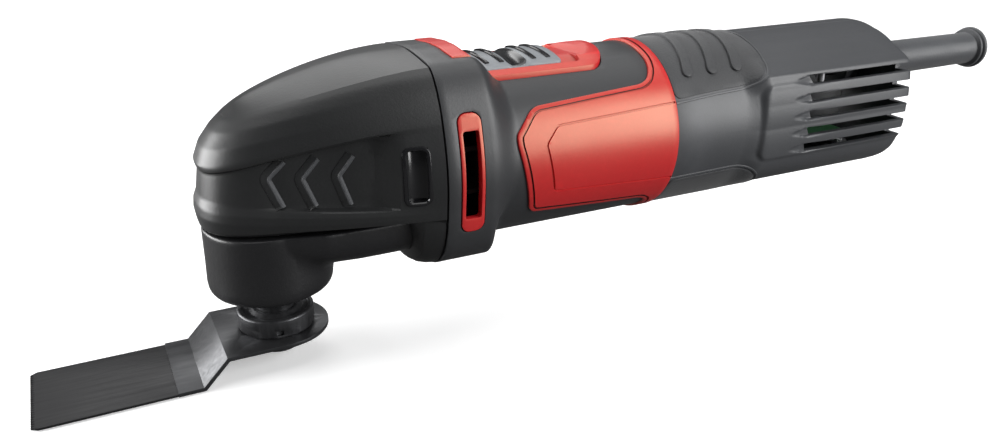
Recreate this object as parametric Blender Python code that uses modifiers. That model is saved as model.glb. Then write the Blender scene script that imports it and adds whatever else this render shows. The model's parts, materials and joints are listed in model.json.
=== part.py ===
"""Oscillating multi tool: gear head, motor barrel, handle, slide switch, plunge blade.

Lengths in this file are millimetres in the tool frame: the spindle's axis is X=0, Y=0,
the cord end is +X, and Z=0 is the underside of the blade.  build() turns them to metres
under one root empty, which puts the middle of the bounding box over the world's origin.
"""

import math

import bmesh
import bpy
from mathutils import Matrix, Vector

MM = 0.001

# Whole tool
MIDDLE_X = 116.9          # middle of the tool's length, measured from the spindle axis
AXIS_Z = 58.0             # motor axis
SEAM_X = 46.5             # gear head meets motor housing
BAND_X = 130.0            # motor housing meets handle
REAR_X = 235.0            # handle's rear face
WALL = 2.5                # plastic wall

# Sections, as radii about the motor axis
BARREL_R = 28.9
BLOCK_RADII = (
    (0, 33.9), (15, 34.6), (24, 36.0), (31, 37.3), (36, 37.2), (41, 36.5), (47, 35.5), (52, 34.6),
    (61, 33.2), (71, 32.2), (87, 31.7), (104, 32.2), (115, 33.7), (129, 36.0), (140, 36.1),
    (150, 35.3), (165, 33.6), (180, 32.7),
)
HANDLE_RADII = (
    (0, 28.2), (20, 28.5), (41, 29.9), (52, 32.0), (58, 33.3), (62, 33.2), (66, 32.3), (75, 30.9),
    (90, 30.0), (105, 30.6), (118, 31.2), (130, 30.8), (141, 29.5), (157, 28.3), (180, 28.2),
)
HALF_ANGLES = (0, 11, 22, 32, 41, 50, 57, 62, 69, 79, 90, 101, 110, 118, 127, 139, 152, 166, 180)

# Gear head
BOSS_R, BOSS_BOTTOM, RIM_Z = 19.0, 23.0, 45.4
BAR_HALF_WIDTH, BAR_BOTTOM = 22.2, 30.8
ECCENTRIC = 0.8           # throw of the eccentric
FORK_GAP = 11.45          # half gap between the fork's arms

# Accessory
BLADE_T, BLADE_HALF_WIDTH = 1.2, 16.0
BLADE_FRONT, BLADE_BEND, PLATE_START, PLATE_Z = -71.9, -25.6, -18.0, 7.9
FLANGE_R, FLANGE_TOP, PIN_CIRCLE_R = 11.8, 15.3, 8.3

# Switch and vents
SWITCH_HALF_WIDTH, SWITCH_FRONT, SWITCH_REAR = 15.2, 55.8, 111.4
BUTTON_FRONT, BUTTON_REAR, BUTTON_HALF_WIDTH, BUTTON_TRAVEL = 65.0, 94.8, 12.4, 6.0
SLOT_X0, SLOT_X1, SLOT_Z0, SLOT_Z1 = 51.0, 58.5, 41.5, 77.6
VENT_FIRST_Z, VENT_PITCH, VENT_HEIGHT, VENT_X = 47.3, 6.1, 3.1, 187.0
SLEEVE_Z, SLEEVE_END = 68.8, 305.7
DIAL_Y = 18.0

SPINDLE = (0.0, 0.0, 0.0)
MOTOR = (0.0, 0.0, AXIS_Z)

for old in list(bpy.data.objects):
    bpy.data.objects.remove(old, do_unlink=True)

parts = bpy.data.collections.new("oscillating_multi_tool")
cutters = bpy.data.collections.new("cutters")
for group in (parts, cutters):
    bpy.context.scene.collection.children.link(group)

root = bpy.data.objects.new("multi_tool_root", None)
root.location = (-MIDDLE_X * MM, 0, 0)
parts.objects.link(root)


def material(name, colour, metallic, roughness):
    mat = bpy.data.materials.new(name)
    mat.use_nodes = True
    shader = mat.node_tree.nodes["Principled BSDF"]
    shader.inputs["Base Color"].default_value = (*colour, 1)
    shader.inputs["Metallic"].default_value = metallic
    shader.inputs["Roughness"].default_value = roughness
    mat.diffuse_color = (*colour, 1)
    return mat


HOOD = material("hood_plastic", (0.035, 0.036, 0.038), 0, 0.45)
CASTING = material("gear_case_casting", (0.03, 0.03, 0.032), 0.3, 0.4)
BODY = material("body_plastic", (0.045, 0.046, 0.05), 0, 0.5)
GRIP = material("grip_rubber", (0.03, 0.03, 0.03), 0, 0.75)
RED = material("red_plastic", (0.62, 0.04, 0.03), 0, 0.4)
SILVER = material("button_plastic", (0.6, 0.62, 0.64), 0, 0.4)
BLACK = material("black_plastic", (0.012, 0.012, 0.012), 0, 0.3)
STEEL = material("bright_steel", (0.55, 0.55, 0.56), 1, 0.3)
OXIDE = material("black_oxide_steel", (0.04, 0.04, 0.045), 0.9, 0.35)
BLADE = material("blade_steel", (0.12, 0.12, 0.13), 0.9, 0.4)
IRON = material("laminated_iron", (0.3, 0.3, 0.32), 0.9, 0.5)
COPPER = material("copper_winding", (0.7, 0.3, 0.12), 0.9, 0.4)
CARBON = material("brush_carbon", (0.03, 0.03, 0.03), 0.1, 0.7)
BRASS = material("brass", (0.7, 0.5, 0.2), 1, 0.35)
RUBBER = material("sleeve_rubber", (0.06, 0.06, 0.065), 0, 0.7)
BOARD = material("circuit_board", (0.02, 0.15, 0.06), 0, 0.5)


def build(name, points, faces, mat=None, origin=(0, 0, 0), smooth=True):
    """One mesh object from millimetre points; without a material it's a cutter."""
    mesh = bpy.data.meshes.new(name)
    o = Vector(origin)
    mesh.from_pydata([tuple((Vector(p) - o) * MM) for p in points], [], faces)
    bm = bmesh.new()
    bm.from_mesh(mesh)
    bmesh.ops.remove_doubles(bm, verts=bm.verts, dist=1e-7)
    bmesh.ops.recalc_face_normals(bm, faces=bm.faces)
    bm.to_mesh(mesh)
    bm.free()
    return link(name, mesh, mat, origin, smooth)


def link(name, data, mat, origin=(0, 0, 0), smooth=True):
    ob = bpy.data.objects.new(name, data)
    ob.parent = root
    ob.location = Vector(origin) * MM
    if mat:
        data.materials.append(mat)
        parts.objects.link(ob)
    else:
        cutters.objects.link(ob)
        ob.hide_render = True
        ob.display_type = "WIRE"
    if smooth and hasattr(data, "polygons"):
        data.shade_smooth()
        data.set_sharp_from_angle(angle=math.radians(38))
    return ob


def modify(target, tool, operation):
    mod = target.modifiers.new(operation.lower(), "BOOLEAN")
    mod.operation = operation
    mod.solver = "EXACT"
    mod.object = tool


def cut(target, *tools):
    for tool in tools:
        modify(target, tool, "DIFFERENCE")


def join(target, *tools):
    for tool in tools:
        modify(target, tool, "UNION")


def keep(target, tool):
    modify(target, tool, "INTERSECT")


def loft(name, rings, mat=None, origin=(0, 0, 0)):
    """A closed solid through rings of the same count of points."""
    count = len(rings[0])
    points = [p for ring in rings for p in ring]
    faces = []
    for r in range(len(rings) - 1):
        for i in range(count):
            j = (i + 1) % count
            a, b = r * count, (r + 1) * count
            faces.append((a + i, a + j, b + j, b + i))
    faces.append(tuple(range(count)))
    faces.append(tuple(range(len(points) - count, len(points))))
    return build(name, points, faces, mat, origin)


def tube(name, outer, inner, mat=None):
    """A shell open at both ends, between matching outer and inner rings."""
    count = len(outer[0])
    points = [p for ring in outer + inner for p in ring]
    faces = []
    skin = len(outer) * count
    for base in (0, skin):
        for r in range(len(outer) - 1):
            for i in range(count):
                j = (i + 1) % count
                a, b = base + r * count, base + (r + 1) * count
                faces.append((a + i, a + j, b + j, b + i))
    for end in (0, skin - count):
        for i in range(count):
            j = (i + 1) % count
            faces.append((end + i, end + j, skin + end + j, skin + end + i))
    return build(name, points, faces, mat)


def prism(name, outline, axis, low, high, mat=None, origin=(0, 0, 0)):
    """An outline in the plane across the axis, drawn out from low to high."""
    if axis == "X":
        ends = [[(h, u, v) for u, v in outline] for h in (low, high)]
    elif axis == "Y":
        ends = [[(u, h, v) for u, v in outline] for h in (low, high)]
    else:
        ends = [[(u, v, h) for u, v in outline] for h in (low, high)]
    return loft(name, ends, mat, origin)


def box(name, x0, x1, y0, y1, z0, z1, mat=None, bevel=0.0, origin=(0, 0, 0)):
    ob = prism(name, [(x0, y0), (x1, y0), (x1, y1), (x0, y1)], "Z", z0, z1, mat, origin)
    if bevel:
        mod = ob.modifiers.new("bevel", "BEVEL")
        mod.width = bevel * MM
        mod.segments = 2
    return ob


def turned(name, profile, axis, centre, mat=None, steps=24):
    """A profile of (radius, height) turned about an axis through the centre."""
    loop = profile[0][0] > 0
    area = sum(
        a[0] * b[1] - b[0] * a[1]
        for a, b in zip(profile, profile[1:] + profile[:1], strict=True)
    )
    points = list(profile) if area < 0 else list(reversed(profile))
    mesh = bpy.data.meshes.new(name)
    edges = [(i, i + 1) for i in range(len(points) - 1)]
    if loop:
        edges.append((len(points) - 1, 0))
    mesh.from_pydata([(r * MM, 0, h * MM) for r, h in points], edges, [])
    ob = link(name, mesh, mat, centre, smooth=False)
    if axis == "X":
        ob.rotation_euler = (0, math.pi / 2, 0)
    elif axis == "Y":
        ob.rotation_euler = (-math.pi / 2, 0, 0)
    mod = ob.modifiers.new("screw", "SCREW")
    mod.axis = "Z"
    mod.steps = steps
    mod.render_steps = steps
    mod.use_merge_vertices = True
    mod.merge_threshold = 1e-5
    mod.use_smooth_shade = steps > 12
    return ob


def ring(name, r0, r1, low, high, axis, centre, mat, edge=0.0, steps=20):
    """A bored disc, with small chamfers on its outer edges where an edge is given."""
    profile = [(r0, high), (r1, high), (r1, low), (r0, low)]
    if edge:
        profile[1:3] = [(r1 - edge, high), (r1, high - edge), (r1, low + edge), (r1 - edge, low)]
    return turned(name, profile, axis, centre, mat, steps)


def rod(name, r, low, high, axis, centre, mat=None, steps=24):
    """A plain round bar or bore along an axis through the centre."""
    cx, cy, cz = centre
    outline = []
    for i in range(steps):
        a = 2 * math.pi * (i + 0.5) / steps
        outline.append((r * math.cos(a), r * math.sin(a)))
    if axis == "X":
        outline = [(cy + u, cz + v) for u, v in outline]
        low, high = low + cx, high + cx
    elif axis == "Y":
        outline = [(cx + u, cz + v) for u, v in outline]
        low, high = low + cy, high + cy
    else:
        outline = [(cx + u, cy + v) for u, v in outline]
        low, high = low + cz, high + cz
    return prism(name, outline, axis, low, high, mat, centre)


def polar(radius, angle, axis_z=AXIS_Z):
    a = math.radians(angle)
    return radius * math.sin(a), axis_z + radius * math.cos(a)


def sector(r0, r1, a0, a1, count=8):
    """An outline between two radii and two angles from the top, about the motor axis."""
    steps = [a0 + (a1 - a0) * i / count for i in range(count + 1)]
    return [polar(r1, a) for a in steps] + [polar(r0, a) for a in reversed(steps)]


def rounded(u0, u1, v0, v1, radius, count=5):
    """A rectangle with rounded corners."""
    corners = ((u1, v1, 0), (u0, v1, 90), (u0, v0, 180), (u1, v0, 270))
    outline = []
    for u, v, start in corners:
        cu = u - radius if u == u1 else u + radius
        cv = v - radius if v == v1 else v + radius
        for i in range(count + 1):
            a = math.radians(start + 90 * i / count)
            outline.append((cu + radius * math.cos(a), cv + radius * math.sin(a)))
    return outline


def smooth_step(t):
    t = min(1.0, max(0.0, t))
    return t * t * (3 - 2 * t)


def table(rows, at):
    for (a, ra), (b, rb) in zip(rows, rows[1:], strict=False):
        if at <= b:
            return ra + (rb - ra) * (at - a) / (b - a)
    return rows[-1][1]


def block_half_width(z):
    """Half width of the gear head's rear section at a height."""
    low, high = 0.0, 180.0
    for _ in range(24):
        middle = (low + high) / 2
        if polar(table(BLOCK_RADII, middle), middle)[1] > z:
            low = middle
        else:
            high = middle
    return polar(table(BLOCK_RADII, low), low)[0]


def body_radius(x, angle):
    """Outer radius of the body at a station and an angle from the top."""
    angle = abs(angle)
    if x < 90:
        mix = smooth_step((x - 61.5) / 13.5)
        return table(BLOCK_RADII, angle) * (1 - mix) + BARREL_R * mix
    mix = smooth_step((x - 157) / 10)
    return BARREL_R * (1 - mix) + table(HANDLE_RADII, angle) * mix


FULL_ANGLES = [-a for a in reversed(HALF_ANGLES[1:-1])] + list(HALF_ANGLES)


def body_ring(x, offset, angles=FULL_ANGLES):
    return [(x, *polar(body_radius(x, a) + offset, a)) for a in angles]


# ---------------------------------------------------------------- gear head
# Levels of the hood from its lower edge to the crease round its top:
# height and X at the nose, height at the seam, half width at the spindle, power, weight
# of the offset on the height.
LEVELS = (
    (45.9, -18.2, 45.9, 20.9, 3.0, 0.0),
    (50.7, -19.5, 49.8, 22.6, 3.0, 0.0),
    (53.4, -19.2, 53.2, 22.8, 2.9, 0.0),
    (55.9, -18.2, 56.2, 21.6, 2.9, 0.0),
    (62.9, -17.1, 73.4, 21.0, 2.8, 0.2),
    (64.0, -17.7, 75.0, 22.7, 2.8, 0.3),
    (70.0, -16.1, 80.4, 22.4, 2.6, 0.5),
    (74.3, -12.9, 84.8, 21.5, 2.4, 0.8),
    (78.0, -9.0, 89.8, 19.6, 2.2, 1.0),
)
CROWN = (
    (-9.0, 78.0), (-5.6, 80.9), (-1.3, 83.1), (5.9, 85.7), (15, 88.2), (24, 90.2), (34, 91.5), (47, 91.9),
)


def hood_level(row, offset, rear, drop, half=11):
    z_nose, x_nose, z_rear, near, power, weight = row
    wide = block_half_width(z_rear)
    flare = 4.5 if z_nose < 47 else 1.0
    outline = []
    for i in range(-half, half + 1):
        u = math.radians(90 * i / half)
        x = SEAM_X - (SEAM_X - x_nose) * abs(math.cos(u)) ** (2 / power)
        along = max(0.0, x / SEAM_X)
        w = near + (wide - near) * along ** flare
        y = w * math.copysign(abs(math.sin(u)) ** (2 / power), u) if i else 0.0
        t = (SEAM_X - x) / (SEAM_X - x_nose)
        z = z_rear + (z_nose - z_rear) * t ** 1.6
        # The offset moves a point in from the side, the nose and the top.
        y -= min(abs(y), offset * abs(math.sin(u))) * math.copysign(1, u)
        x += offset * abs(math.cos(u)) ** 0.5 if abs(i) < half else 0
        outline.append((min(x, SEAM_X), y, z - offset * weight))
    outline[0] = (rear, outline[0][1], outline[0][2])
    outline[-1] = (rear, outline[-1][1], outline[-1][2])
    if drop:
        outline = [(x, y, drop) for x, y, z in outline]
    return outline


def hood_solid(name, offset, rear, bottom=None, mat=None):
    """The hood's outside, or its inside when offset, as one closed solid."""
    rows = [hood_level(row, offset, rear, None) for row in LEVELS]
    if bottom is not None:
        rows.insert(0, hood_level(LEVELS[0], offset, rear, bottom))
    count = len(rows[0])
    points = [p for row in rows for p in row]
    faces = []
    for r in range(len(rows) - 1):
        for i in range(count - 1):
            a, b = r * count, (r + 1) * count
            faces.append((a + i, a + i + 1, b + i + 1, b + i))
        faces.append((r * count + count - 1, r * count, (r + 1) * count, (r + 2) * count - 1))
    # The lid: each point of the top level joined to the crown over the middle.
    top = (len(rows) - 1) * count
    middle = count // 2
    crown = {}
    for i in range(middle):
        x = points[top + i][0]
        crown[i] = len(points)
        points.append((x, 0.0, table(CROWN, min(x, 46.9)) - offset))
    crown[middle] = top + middle
    for i in range(middle):
        here, there = top + i, top + i + 1
        far, farther = top + count - 1 - i, top + count - 2 - i
        if i + 1 == middle:
            faces.append((here, there, crown[i]))
            faces.append((far, crown[i], there))
        else:
            faces.append((here, there, crown[i + 1], crown[i]))
            faces.append((far, crown[i], crown[i + 1], farther))
    faces.append((top, crown[0], top + count - 1))
    faces.append(tuple(range(count)))
    return build(name, points, faces, mat)


def lump(name, offset, rear, mat=None):
    """The hood's deeper rear part, behind the gear case's bar."""
    rings = []
    stations = ((36.6, 40.5, 25.0), (38.3, 33.6, 26.7), (40.1, 28.0, 28.8),
                (42.3, 26.1, 30.0), (44.4, 25.5, 30.9), (rear, 25.3, 31.5))
    for x, low, wide in stations:
        if offset and x < 44:
            x = x + offset
        tall = 58.0 - low - offset
        outline = []
        for i in range(32):
            a = 2 * math.pi * i / 32
            s, c = math.sin(a), math.cos(a)
            y = (wide - offset) * math.copysign(abs(s) ** (2 / 2.9), s)
            z = 58.0 + (10.0 if c > 0 else tall) * math.copysign(abs(c) ** (2 / 2.9), c)
            outline.append((x, y, z))
        rings.append(outline)
    return loft(name, rings, mat)


def bar_outline(wide, low, high, power=3.0, count=16):
    """A trough section: flat top, rounded bottom."""
    outline = []
    for i in range(count + 1):
        a = math.pi * i / count
        c, s = math.cos(a), math.sin(a)
        y = wide * math.copysign(abs(c) ** (2 / power), c)
        outline.append((y, high - (high - low) * abs(s) ** (2 / power)))
    return outline


hood = hood_solid("gearbox_cover", 0, SEAM_X - 0.15, None, HOOD)
join(hood, lump("hood_lump", 0, SEAM_X - 0.17))
cut(
    hood,
    hood_solid("hood_inside", WALL, SEAM_X + 2, 43.0),
    lump("lump_inside", WALL, SEAM_X + 2.5),
    prism("bar_clearance", bar_outline(22.6, 30.4, 47.0), "X", 20, 44),
)


def chevron(name, x, z, side, mat=None):
    """A V-shaped ridge on the hood's side, its point to the nose."""
    arm = 1.5
    outline = [
        (x, z), (x + 5.0, z + 7.2), (x + 5.0 + arm, z + 7.2), (x + arm + 0.4, z),
        (x + 3.0 + arm, z - 9.4), (x + 3.0, z - 9.4),
    ]
    y0, y1 = (side * 12.0, side * 34.0)
    return prism(name, outline, "Y", min(y0, y1), max(y0, y1), mat)


for side, hand in ((-1, "left"), (1, "right")):
    for number, (x, z) in enumerate(((-4.6, 63.4), (4.6, 64.6), (14.8, 66.0))):
        ridge = chevron(f"chevron_{hand}_{number}", x, z, side)
        keep(ridge, hood_solid(f"chevron_limit_{hand}_{number}", -0.55, SEAM_X, None))
        cut(ridge, hood_solid(f"chevron_floor_{hand}_{number}", WALL * 0.5, SEAM_X, None))
        join(hood, ridge)

CASE_PLAN = ((1.0, -13.2), (9.5, -17.0), (43.5, -17.0), (43.5, 17.0), (9.5, 17.0), (1.0, 13.2))
CAVITY_PLAN = ((0.0, -10.8), (8.6, -15.65), (40.0, -15.65), (40.0, 15.65), (8.6, 15.65), (0.0, 10.8))
case = turned(
    "gear_housing",
    [(0, RIM_Z), (18.4, RIM_Z), (18.9, 34.0), (BOSS_R, 27.0), (18.8, 25.0), (18.2, 23.6),
     (17.0, BOSS_BOTTOM), (0, BOSS_BOTTOM)],
    "Z", SPINDLE, CASTING, 40,
)
bar_rings = []
for x, wide, low in (
    (0, 18.3, 33.5), (6, 20.2, 32.2), (13, 21.8, 31.2), (24, BAR_HALF_WIDTH, BAR_BOTTOM),
    (43.6, BAR_HALF_WIDTH, BAR_BOTTOM),
):
    bar_rings.append([(x, y, z) for y, z in bar_outline(wide, low, RIM_Z - 0.02)])
flange_rings = []
for x, offset in ((42.4, -6.4), (46.1, -5.4)):
    flange_rings.append([(x, y, max(z, 44.6)) for x, y, z in body_ring(x, offset)])
join(
    case,
    loft("case_bar", bar_rings),
    rod("case_tower", 13.4, 40, 68.6, "Z", SPINDLE, None, 24),
    rod("case_bearing_boss", 8.7, 60, 73.6, "Z", SPINDLE, None, 20),
    prism("case_upper", CASE_PLAN, "Z", 42, 70.8),
    loft("case_flange", flange_rings),
)
cut(
    case,
    rod("case_round_cavity", 11.6, 33.5, 66.5, "Z", SPINDLE, None, 24),
    prism("case_cavity", CAVITY_PLAN, "Z", 47.5, 68.9),
    rod("case_motor_opening", 14.0, 30, 50, "X", MOTOR, None, 24),
    rod("lower_bearing_seat", 14.2, 25.6, 34.4, "Z", SPINDLE, None, 24),
    rod("seal_opening", 9.3, 20, 27, "Z", SPINDLE, None, 24),
    rod("upper_bearing_seat", 7.2, 60, 78, "Z", SPINDLE, None, 20),
)

for side, hand in ((-1, "left"), (1, "right")):
    reach = sorted((side * 20, side * 40))
    pocket = prism(f"insert_pocket_{hand}", rounded(33.4, 41.6, 52.0, 70.4, 2.6), "Y", *reach)
    cut(hood, pocket)
    outline = rounded(33.65, 41.35, 52.25, 70.15, 2.5)
    insert = prism(f"side_insert_{hand}", outline, "Y", *reach, BLACK)
    keep(insert, hood_solid(f"insert_limit_{hand}", 0.9, SEAM_X, None))
    cut(insert, hood_solid(f"insert_back_{hand}", WALL + 0.2, SEAM_X, None))

turned(
    "spindle",
    [(3.05, 9.3), (5.9, 9.3), (5.9, 15.8), (6.5, 15.8), (6.5, 25.6), (5.95, 25.6), (5.95, 66.2),
     (4.0, 66.2), (4.0, 75.5), (3.5, 76.0), (0.02, 76.0), (0.02, 26.0), (3.05, 26.0)],
    "Z", SPINDLE, STEEL, 28,
)
ring("lower_spindle_bearing", 6.05, 14.0, 26.0, 34.0, "Z", SPINDLE, STEEL, 0.6, 24)
ring("upper_spindle_bearing", 4.1, 7.0, 66.8, 73.2, "Z", SPINDLE, STEEL)
ring("spindle_seal", 6.7, 9.05, 23.3, 25.3, "Z", SPINDLE, RUBBER)

lever = ring("fork_lever", 6.1, 10.4, 50, 66, "Z", SPINDLE, OXIDE)
join(lever, box("fork_cross", 9.0, 14.5, -14.6, 14.6, 50.5, 65.5))
for side in (-1, 1):
    low, high = sorted((side * FORK_GAP, side * 14.6))
    join(lever, box(f"fork_arm_{side}", 9.5, 34.5, low, high, 51, 65))

flange = turned(
    "tool_flange",
    [(6.05, 9.15), (FLANGE_R - 0.5, 9.15), (FLANGE_R, 9.6), (FLANGE_R, 14.8),
     (FLANGE_R - 0.5, FLANGE_TOP), (10.2, FLANGE_TOP), (9.7, 14.5), (8.0, 14.5), (6.7, 15.6), (6.05, 15.6)],
    "Z", SPINDLE, OXIDE, 28,
)
for i in range(6):
    a = math.radians(60 * i + 34)
    flat = box(f"flange_flat_{i}", FLANGE_R - 0.55, FLANGE_R + 3, -6, 6, 8, 12.0)
    flat.rotation_euler = (0, 0, a)
    cut(flange, flat)
cut(flange, box("set_screw_hole", -2.2, -0.2, -14, -10.6, 9.8, 11.8))
for i in range(4):
    a = math.radians(90 * i + 45)
    centre = (PIN_CIRCLE_R * math.cos(a), PIN_CIRCLE_R * math.sin(a), 0)
    join(flange, rod(f"drive_pin_{i}", 1.4, 8.1, 10.0, "Z", centre, None, 8))

blade_path = (
    (BLADE_FRONT, 0.0), (BLADE_BEND + 0.3, 0.0), (PLATE_START + 0.3, PLATE_Z), (4.0, PLATE_Z),
    (4.0, PLATE_Z + BLADE_T), (PLATE_START - 0.3, PLATE_Z + BLADE_T), (BLADE_BEND - 0.3, BLADE_T),
    (BLADE_FRONT, BLADE_T),
)
blade = prism("blade", list(blade_path), "Y", -BLADE_HALF_WIDTH, BLADE_HALF_WIDTH, BLADE)
end = [(-2.0, -15.98), (-2.0, 15.98)] + [
    (15.98 * math.cos(math.radians(a)), 15.98 * math.sin(math.radians(a))) for a in range(90, -91, -15)
]
join(blade, prism("blade_end", end, "Z", PLATE_Z, PLATE_Z + BLADE_T))
cut(blade, rod("blade_centre_hole", 5.2, 5, 12, "Z", SPINDLE, None, 20))
for i in range(8):
    a = math.radians(45 * i)
    centre = (PIN_CIRCLE_R * math.cos(a), PIN_CIRCLE_R * math.sin(a), 0)
    cut(blade, rod(f"blade_pin_hole_{i}", 1.65, 5, 12, "Z", centre, None, 8))
teeth = 16
pitch = 2 * BLADE_HALF_WIDTH / teeth
for i in range(teeth):
    y = -BLADE_HALF_WIDTH + pitch * i
    notch = [
        (BLADE_FRONT - 1, y + 0.1), (BLADE_FRONT + 1.3, y + pitch / 2), (BLADE_FRONT - 1, y + pitch - 0.1),
    ]
    cut(blade, prism(f"tooth_gap_{i}", notch, "Z", -1, 3))

ring("clamp_washer", 3.3, 10.0, 5.7, 7.75, "Z", SPINDLE, OXIDE, 0.5, 28)
bolt = turned(
    "clamp_bolt",
    [(0, 24.0), (2.95, 24.0), (2.95, 5.6), (6.6, 5.6), (7.4, 5.0), (7.4, 2.4), (6.2, 1.5), (0, 1.5)],
    "Z", SPINDLE, STEEL, 28,
)
hexagon = []
for i in range(6):
    a = math.radians(60 * i)
    hexagon.append((2.89 * math.cos(a), 2.89 * math.sin(a)))
cut(bolt, prism("hex_socket", hexagon, "Z", 0, 4.6))

# ---------------------------------------------------------------- motor
turned(
    "rotor_shaft",
    [(0, 20.5), (2.95, 20.5), (2.95, 34.5), (3.95, 34.5), (3.95, 143.0), (2.95, 143.0), (2.95, 151.0),
     (0, 151.0)],
    "X", MOTOR, STEEL, 24,
)
hub = rod("eccentric_hub", 5.0, 23.2, 33.4, "X", (0, 0, AXIS_Z + ECCENTRIC), STEEL)
cut(hub, rod("hub_bore", 3.05, 20, 36, "X", MOTOR))
ring("eccentric_bearing", 5.1, 9.5, 25, 31, "X", (0, 0, AXIS_Z + ECCENTRIC), STEEL)
ring("front_motor_bearing", 4.05, 11.0, 46.4, 53.4, "X", MOTOR, STEEL)
plate = prism("bearing_plate", rounded(-25.8, 25.8, 32.0, 84.6, 11, 3), "X", 47.3, 50.6, CASTING)
join(plate, rod("plate_seat", 13.6, 46.9, 53.0, "X", MOTOR, None, 20))
cut(plate, rod("plate_bore", 11.2, 40, 60, "X", MOTOR, None, 20))

fan = rod("fan", 8.0, 54.6, 63.0, "X", MOTOR, BLACK, 28)
join(fan, rod("fan_disc", 24.6, 61.4, 63.3, "X", MOTOR, None, 36))
for i in range(11):
    vane = box(f"fan_vane_{i}", 55.2, 62.0, -0.7, 0.7, 6.5, 24.2)
    vane.location = (0, 0, AXIS_Z * MM)
    vane.rotation_euler = (math.radians(360 * i / 11 + 8), 0, 0)
    join(fan, vane)
cut(fan, rod("fan_bore", 4.0, 50, 66, "X", MOTOR))

core = []
for i in range(12):
    for r, da in ((15.0, -11.5), (15.0, -4), (15.0, 4), (15.0, 11.5), (10.5, 12.8), (10.5, 17.2)):
        core.append(polar(r, 30 * i + da))
core = prism("rotor_core", core, "X", 77, 113, IRON, MOTOR)
cut(core, rod("core_bore", 4.0, 70, 120, "X", MOTOR))
for name, low, high in (("rotor_winding_front", 69.5, 76.8), ("rotor_winding_rear", 113.2, 121.5)):
    turned(
        name,
        [(4.1, low + 1.5), (6.0, low), (11.5, low), (13.6, low + 2), (13.6, high - 0.8), (12.8, high),
         (4.1, high)],
        "X", MOTOR, COPPER, 20,
    )
turned(
    "commutator",
    [(4.1, 139), (9.6, 139), (10, 138.6), (10, 126), (11, 126), (11, 124), (4.1, 124)],
    "X", MOTOR, COPPER, 24,
)
ring("rear_motor_bearing", 3.05, 9.5, 144.0, 150.0, "X", MOTOR, STEEL)
turned(
    "rear_bearing_bush",
    [(9.6, 143.6), (11.4, 143.6), (11.4, 152.4), (0, 152.4), (0, 151.4), (9.6, 150.6)],
    "X", MOTOR, RUBBER, 28,
)

yoke = ring("stator_core", 20.9, 24.0, 76, 114, "X", MOTOR, IRON, 0, 32)
for up, turn in (("upper", 0), ("lower", 180)):
    join(yoke, prism(f"pole_neck_{up}", sector(18.0, 21.5, turn - 30, turn + 30), "X", 76.1, 113.9))
    join(yoke, prism(f"pole_shoe_{up}", sector(15.8, 18.3, turn - 52, turn + 52), "X", 76.05, 113.95))
    coil = prism(f"field_coil_{up}", sector(18.6, 20.7, turn - 62, turn + 62, 10), "X", 69.0, 121.0, COPPER)
    cut(coil, prism(f"coil_window_{up}", sector(17, 22, turn - 31, turn + 31), "X", 75.6, 114.4))

for side, hand in ((-1, "left"), (1, "right")):
    y0, y1 = sorted((side * 12.5, side * 25.6))
    holder = box(f"brush_holder_{hand}", 126.6, 138.6, y0, y1, 53.2, 62.8, BRASS)
    c0, c1 = sorted((side * 11, side * 24.6))
    cut(holder, box(f"holder_bore_{hand}", 129.0, 136.2, c0, c1, 55.2, 60.8))
    b0, b1 = sorted((side * 10.15, side * 19.5))
    box(f"carbon_brush_{hand}", 129.2, 136.0, b0, b1, 55.4, 60.6, CARBON)
    wire = bpy.data.curves.new(f"brush_spring_{hand}", "CURVE")
    wire.dimensions = "3D"
    wire.bevel_depth = 0.3 * MM
    wire.bevel_resolution = 1
    wire.use_fill_caps = True
    line = wire.splines.new("POLY")
    turns, each = 3.0, 8
    count = int(turns * each)
    line.points.add(count)
    for i in range(count + 1):
        a = 2 * math.pi * i / each
        y = side * (19.9 + 4.3 * i / count)
        x, z = 132.6 + 1.9 * math.cos(a), AXIS_Z + 1.9 * math.sin(a)
        line.points[i].co = (x * MM, y * MM, z * MM, 1)
    link(f"brush_spring_{hand}", wire, STEEL)

# ---------------------------------------------------------------- motor housing
stations = (SEAM_X + 0.15, 61.0, 64.0, 66.5, 69.0, 71.8, 75.0, BAND_X - 0.15)
inner = (SEAM_X + 0.15, 60.0, 63.0, 65.5, 68.0, 70.8, 74.0, BAND_X - 0.15)
body = tube(
    "motor_housing",
    [body_ring(x, 0) for x in stations],
    [[(s, y, z) for _, y, z in body_ring(x, -WALL)] for s, x in zip(inner, inner, strict=True)],
    BODY,
)


def switch_outline(grow):
    """Plan of the switch surround: square front, round rear end."""
    half, front, rear = SWITCH_HALF_WIDTH + grow, SWITCH_FRONT - grow, SWITCH_REAR + grow
    outline = [(front, -half), (front, half)]
    for i in range(13):
        a = math.pi / 2 - math.pi * i / 12
        outline.append((rear - 7.5 + 7.5 * math.cos(a), half * math.copysign(abs(math.sin(a)) ** 0.7, a)))
    return outline


cut(body, prism("switch_opening", switch_outline(0.25), "Z", AXIS_Z + 12, 100))

surround_stations = (50, 61.0, 62.5, 64.0, 66.0, 69.0, 72, 75.0, 115)
outer_rings, inner_rings = [], []
for x in surround_stations:
    mix = smooth_step((x - 61.0) / 5.0)
    outside, inside = [], []
    for a in FULL_ANGLES:
        block, barrel = body_radius(x, a), BARREL_R
        outside.append((x, *polar((block + 0.35) * (1 - mix) + (barrel + 1.2) * mix, a)))
        inside.append((x, *polar((block - 2.2) * (1 - mix) + (barrel - 2.0) * mix, a)))
    outer_rings.append(outside)
    inner_rings.append(inside)
surround = tube("switch_surround", outer_rings, inner_rings, RED)
keep(surround, prism("surround_plan", switch_outline(0), "Z", AXIS_Z + 12, 100))
window_half = BUTTON_HALF_WIDTH + 0.35
window = rounded(
    BUTTON_FRONT - 0.5, BUTTON_REAR + BUTTON_TRAVEL + 0.5, -window_half, window_half, 1.6, 3,
)
well = prism("button_well", window, "Z", AXIS_Z + 12, 100)
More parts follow.
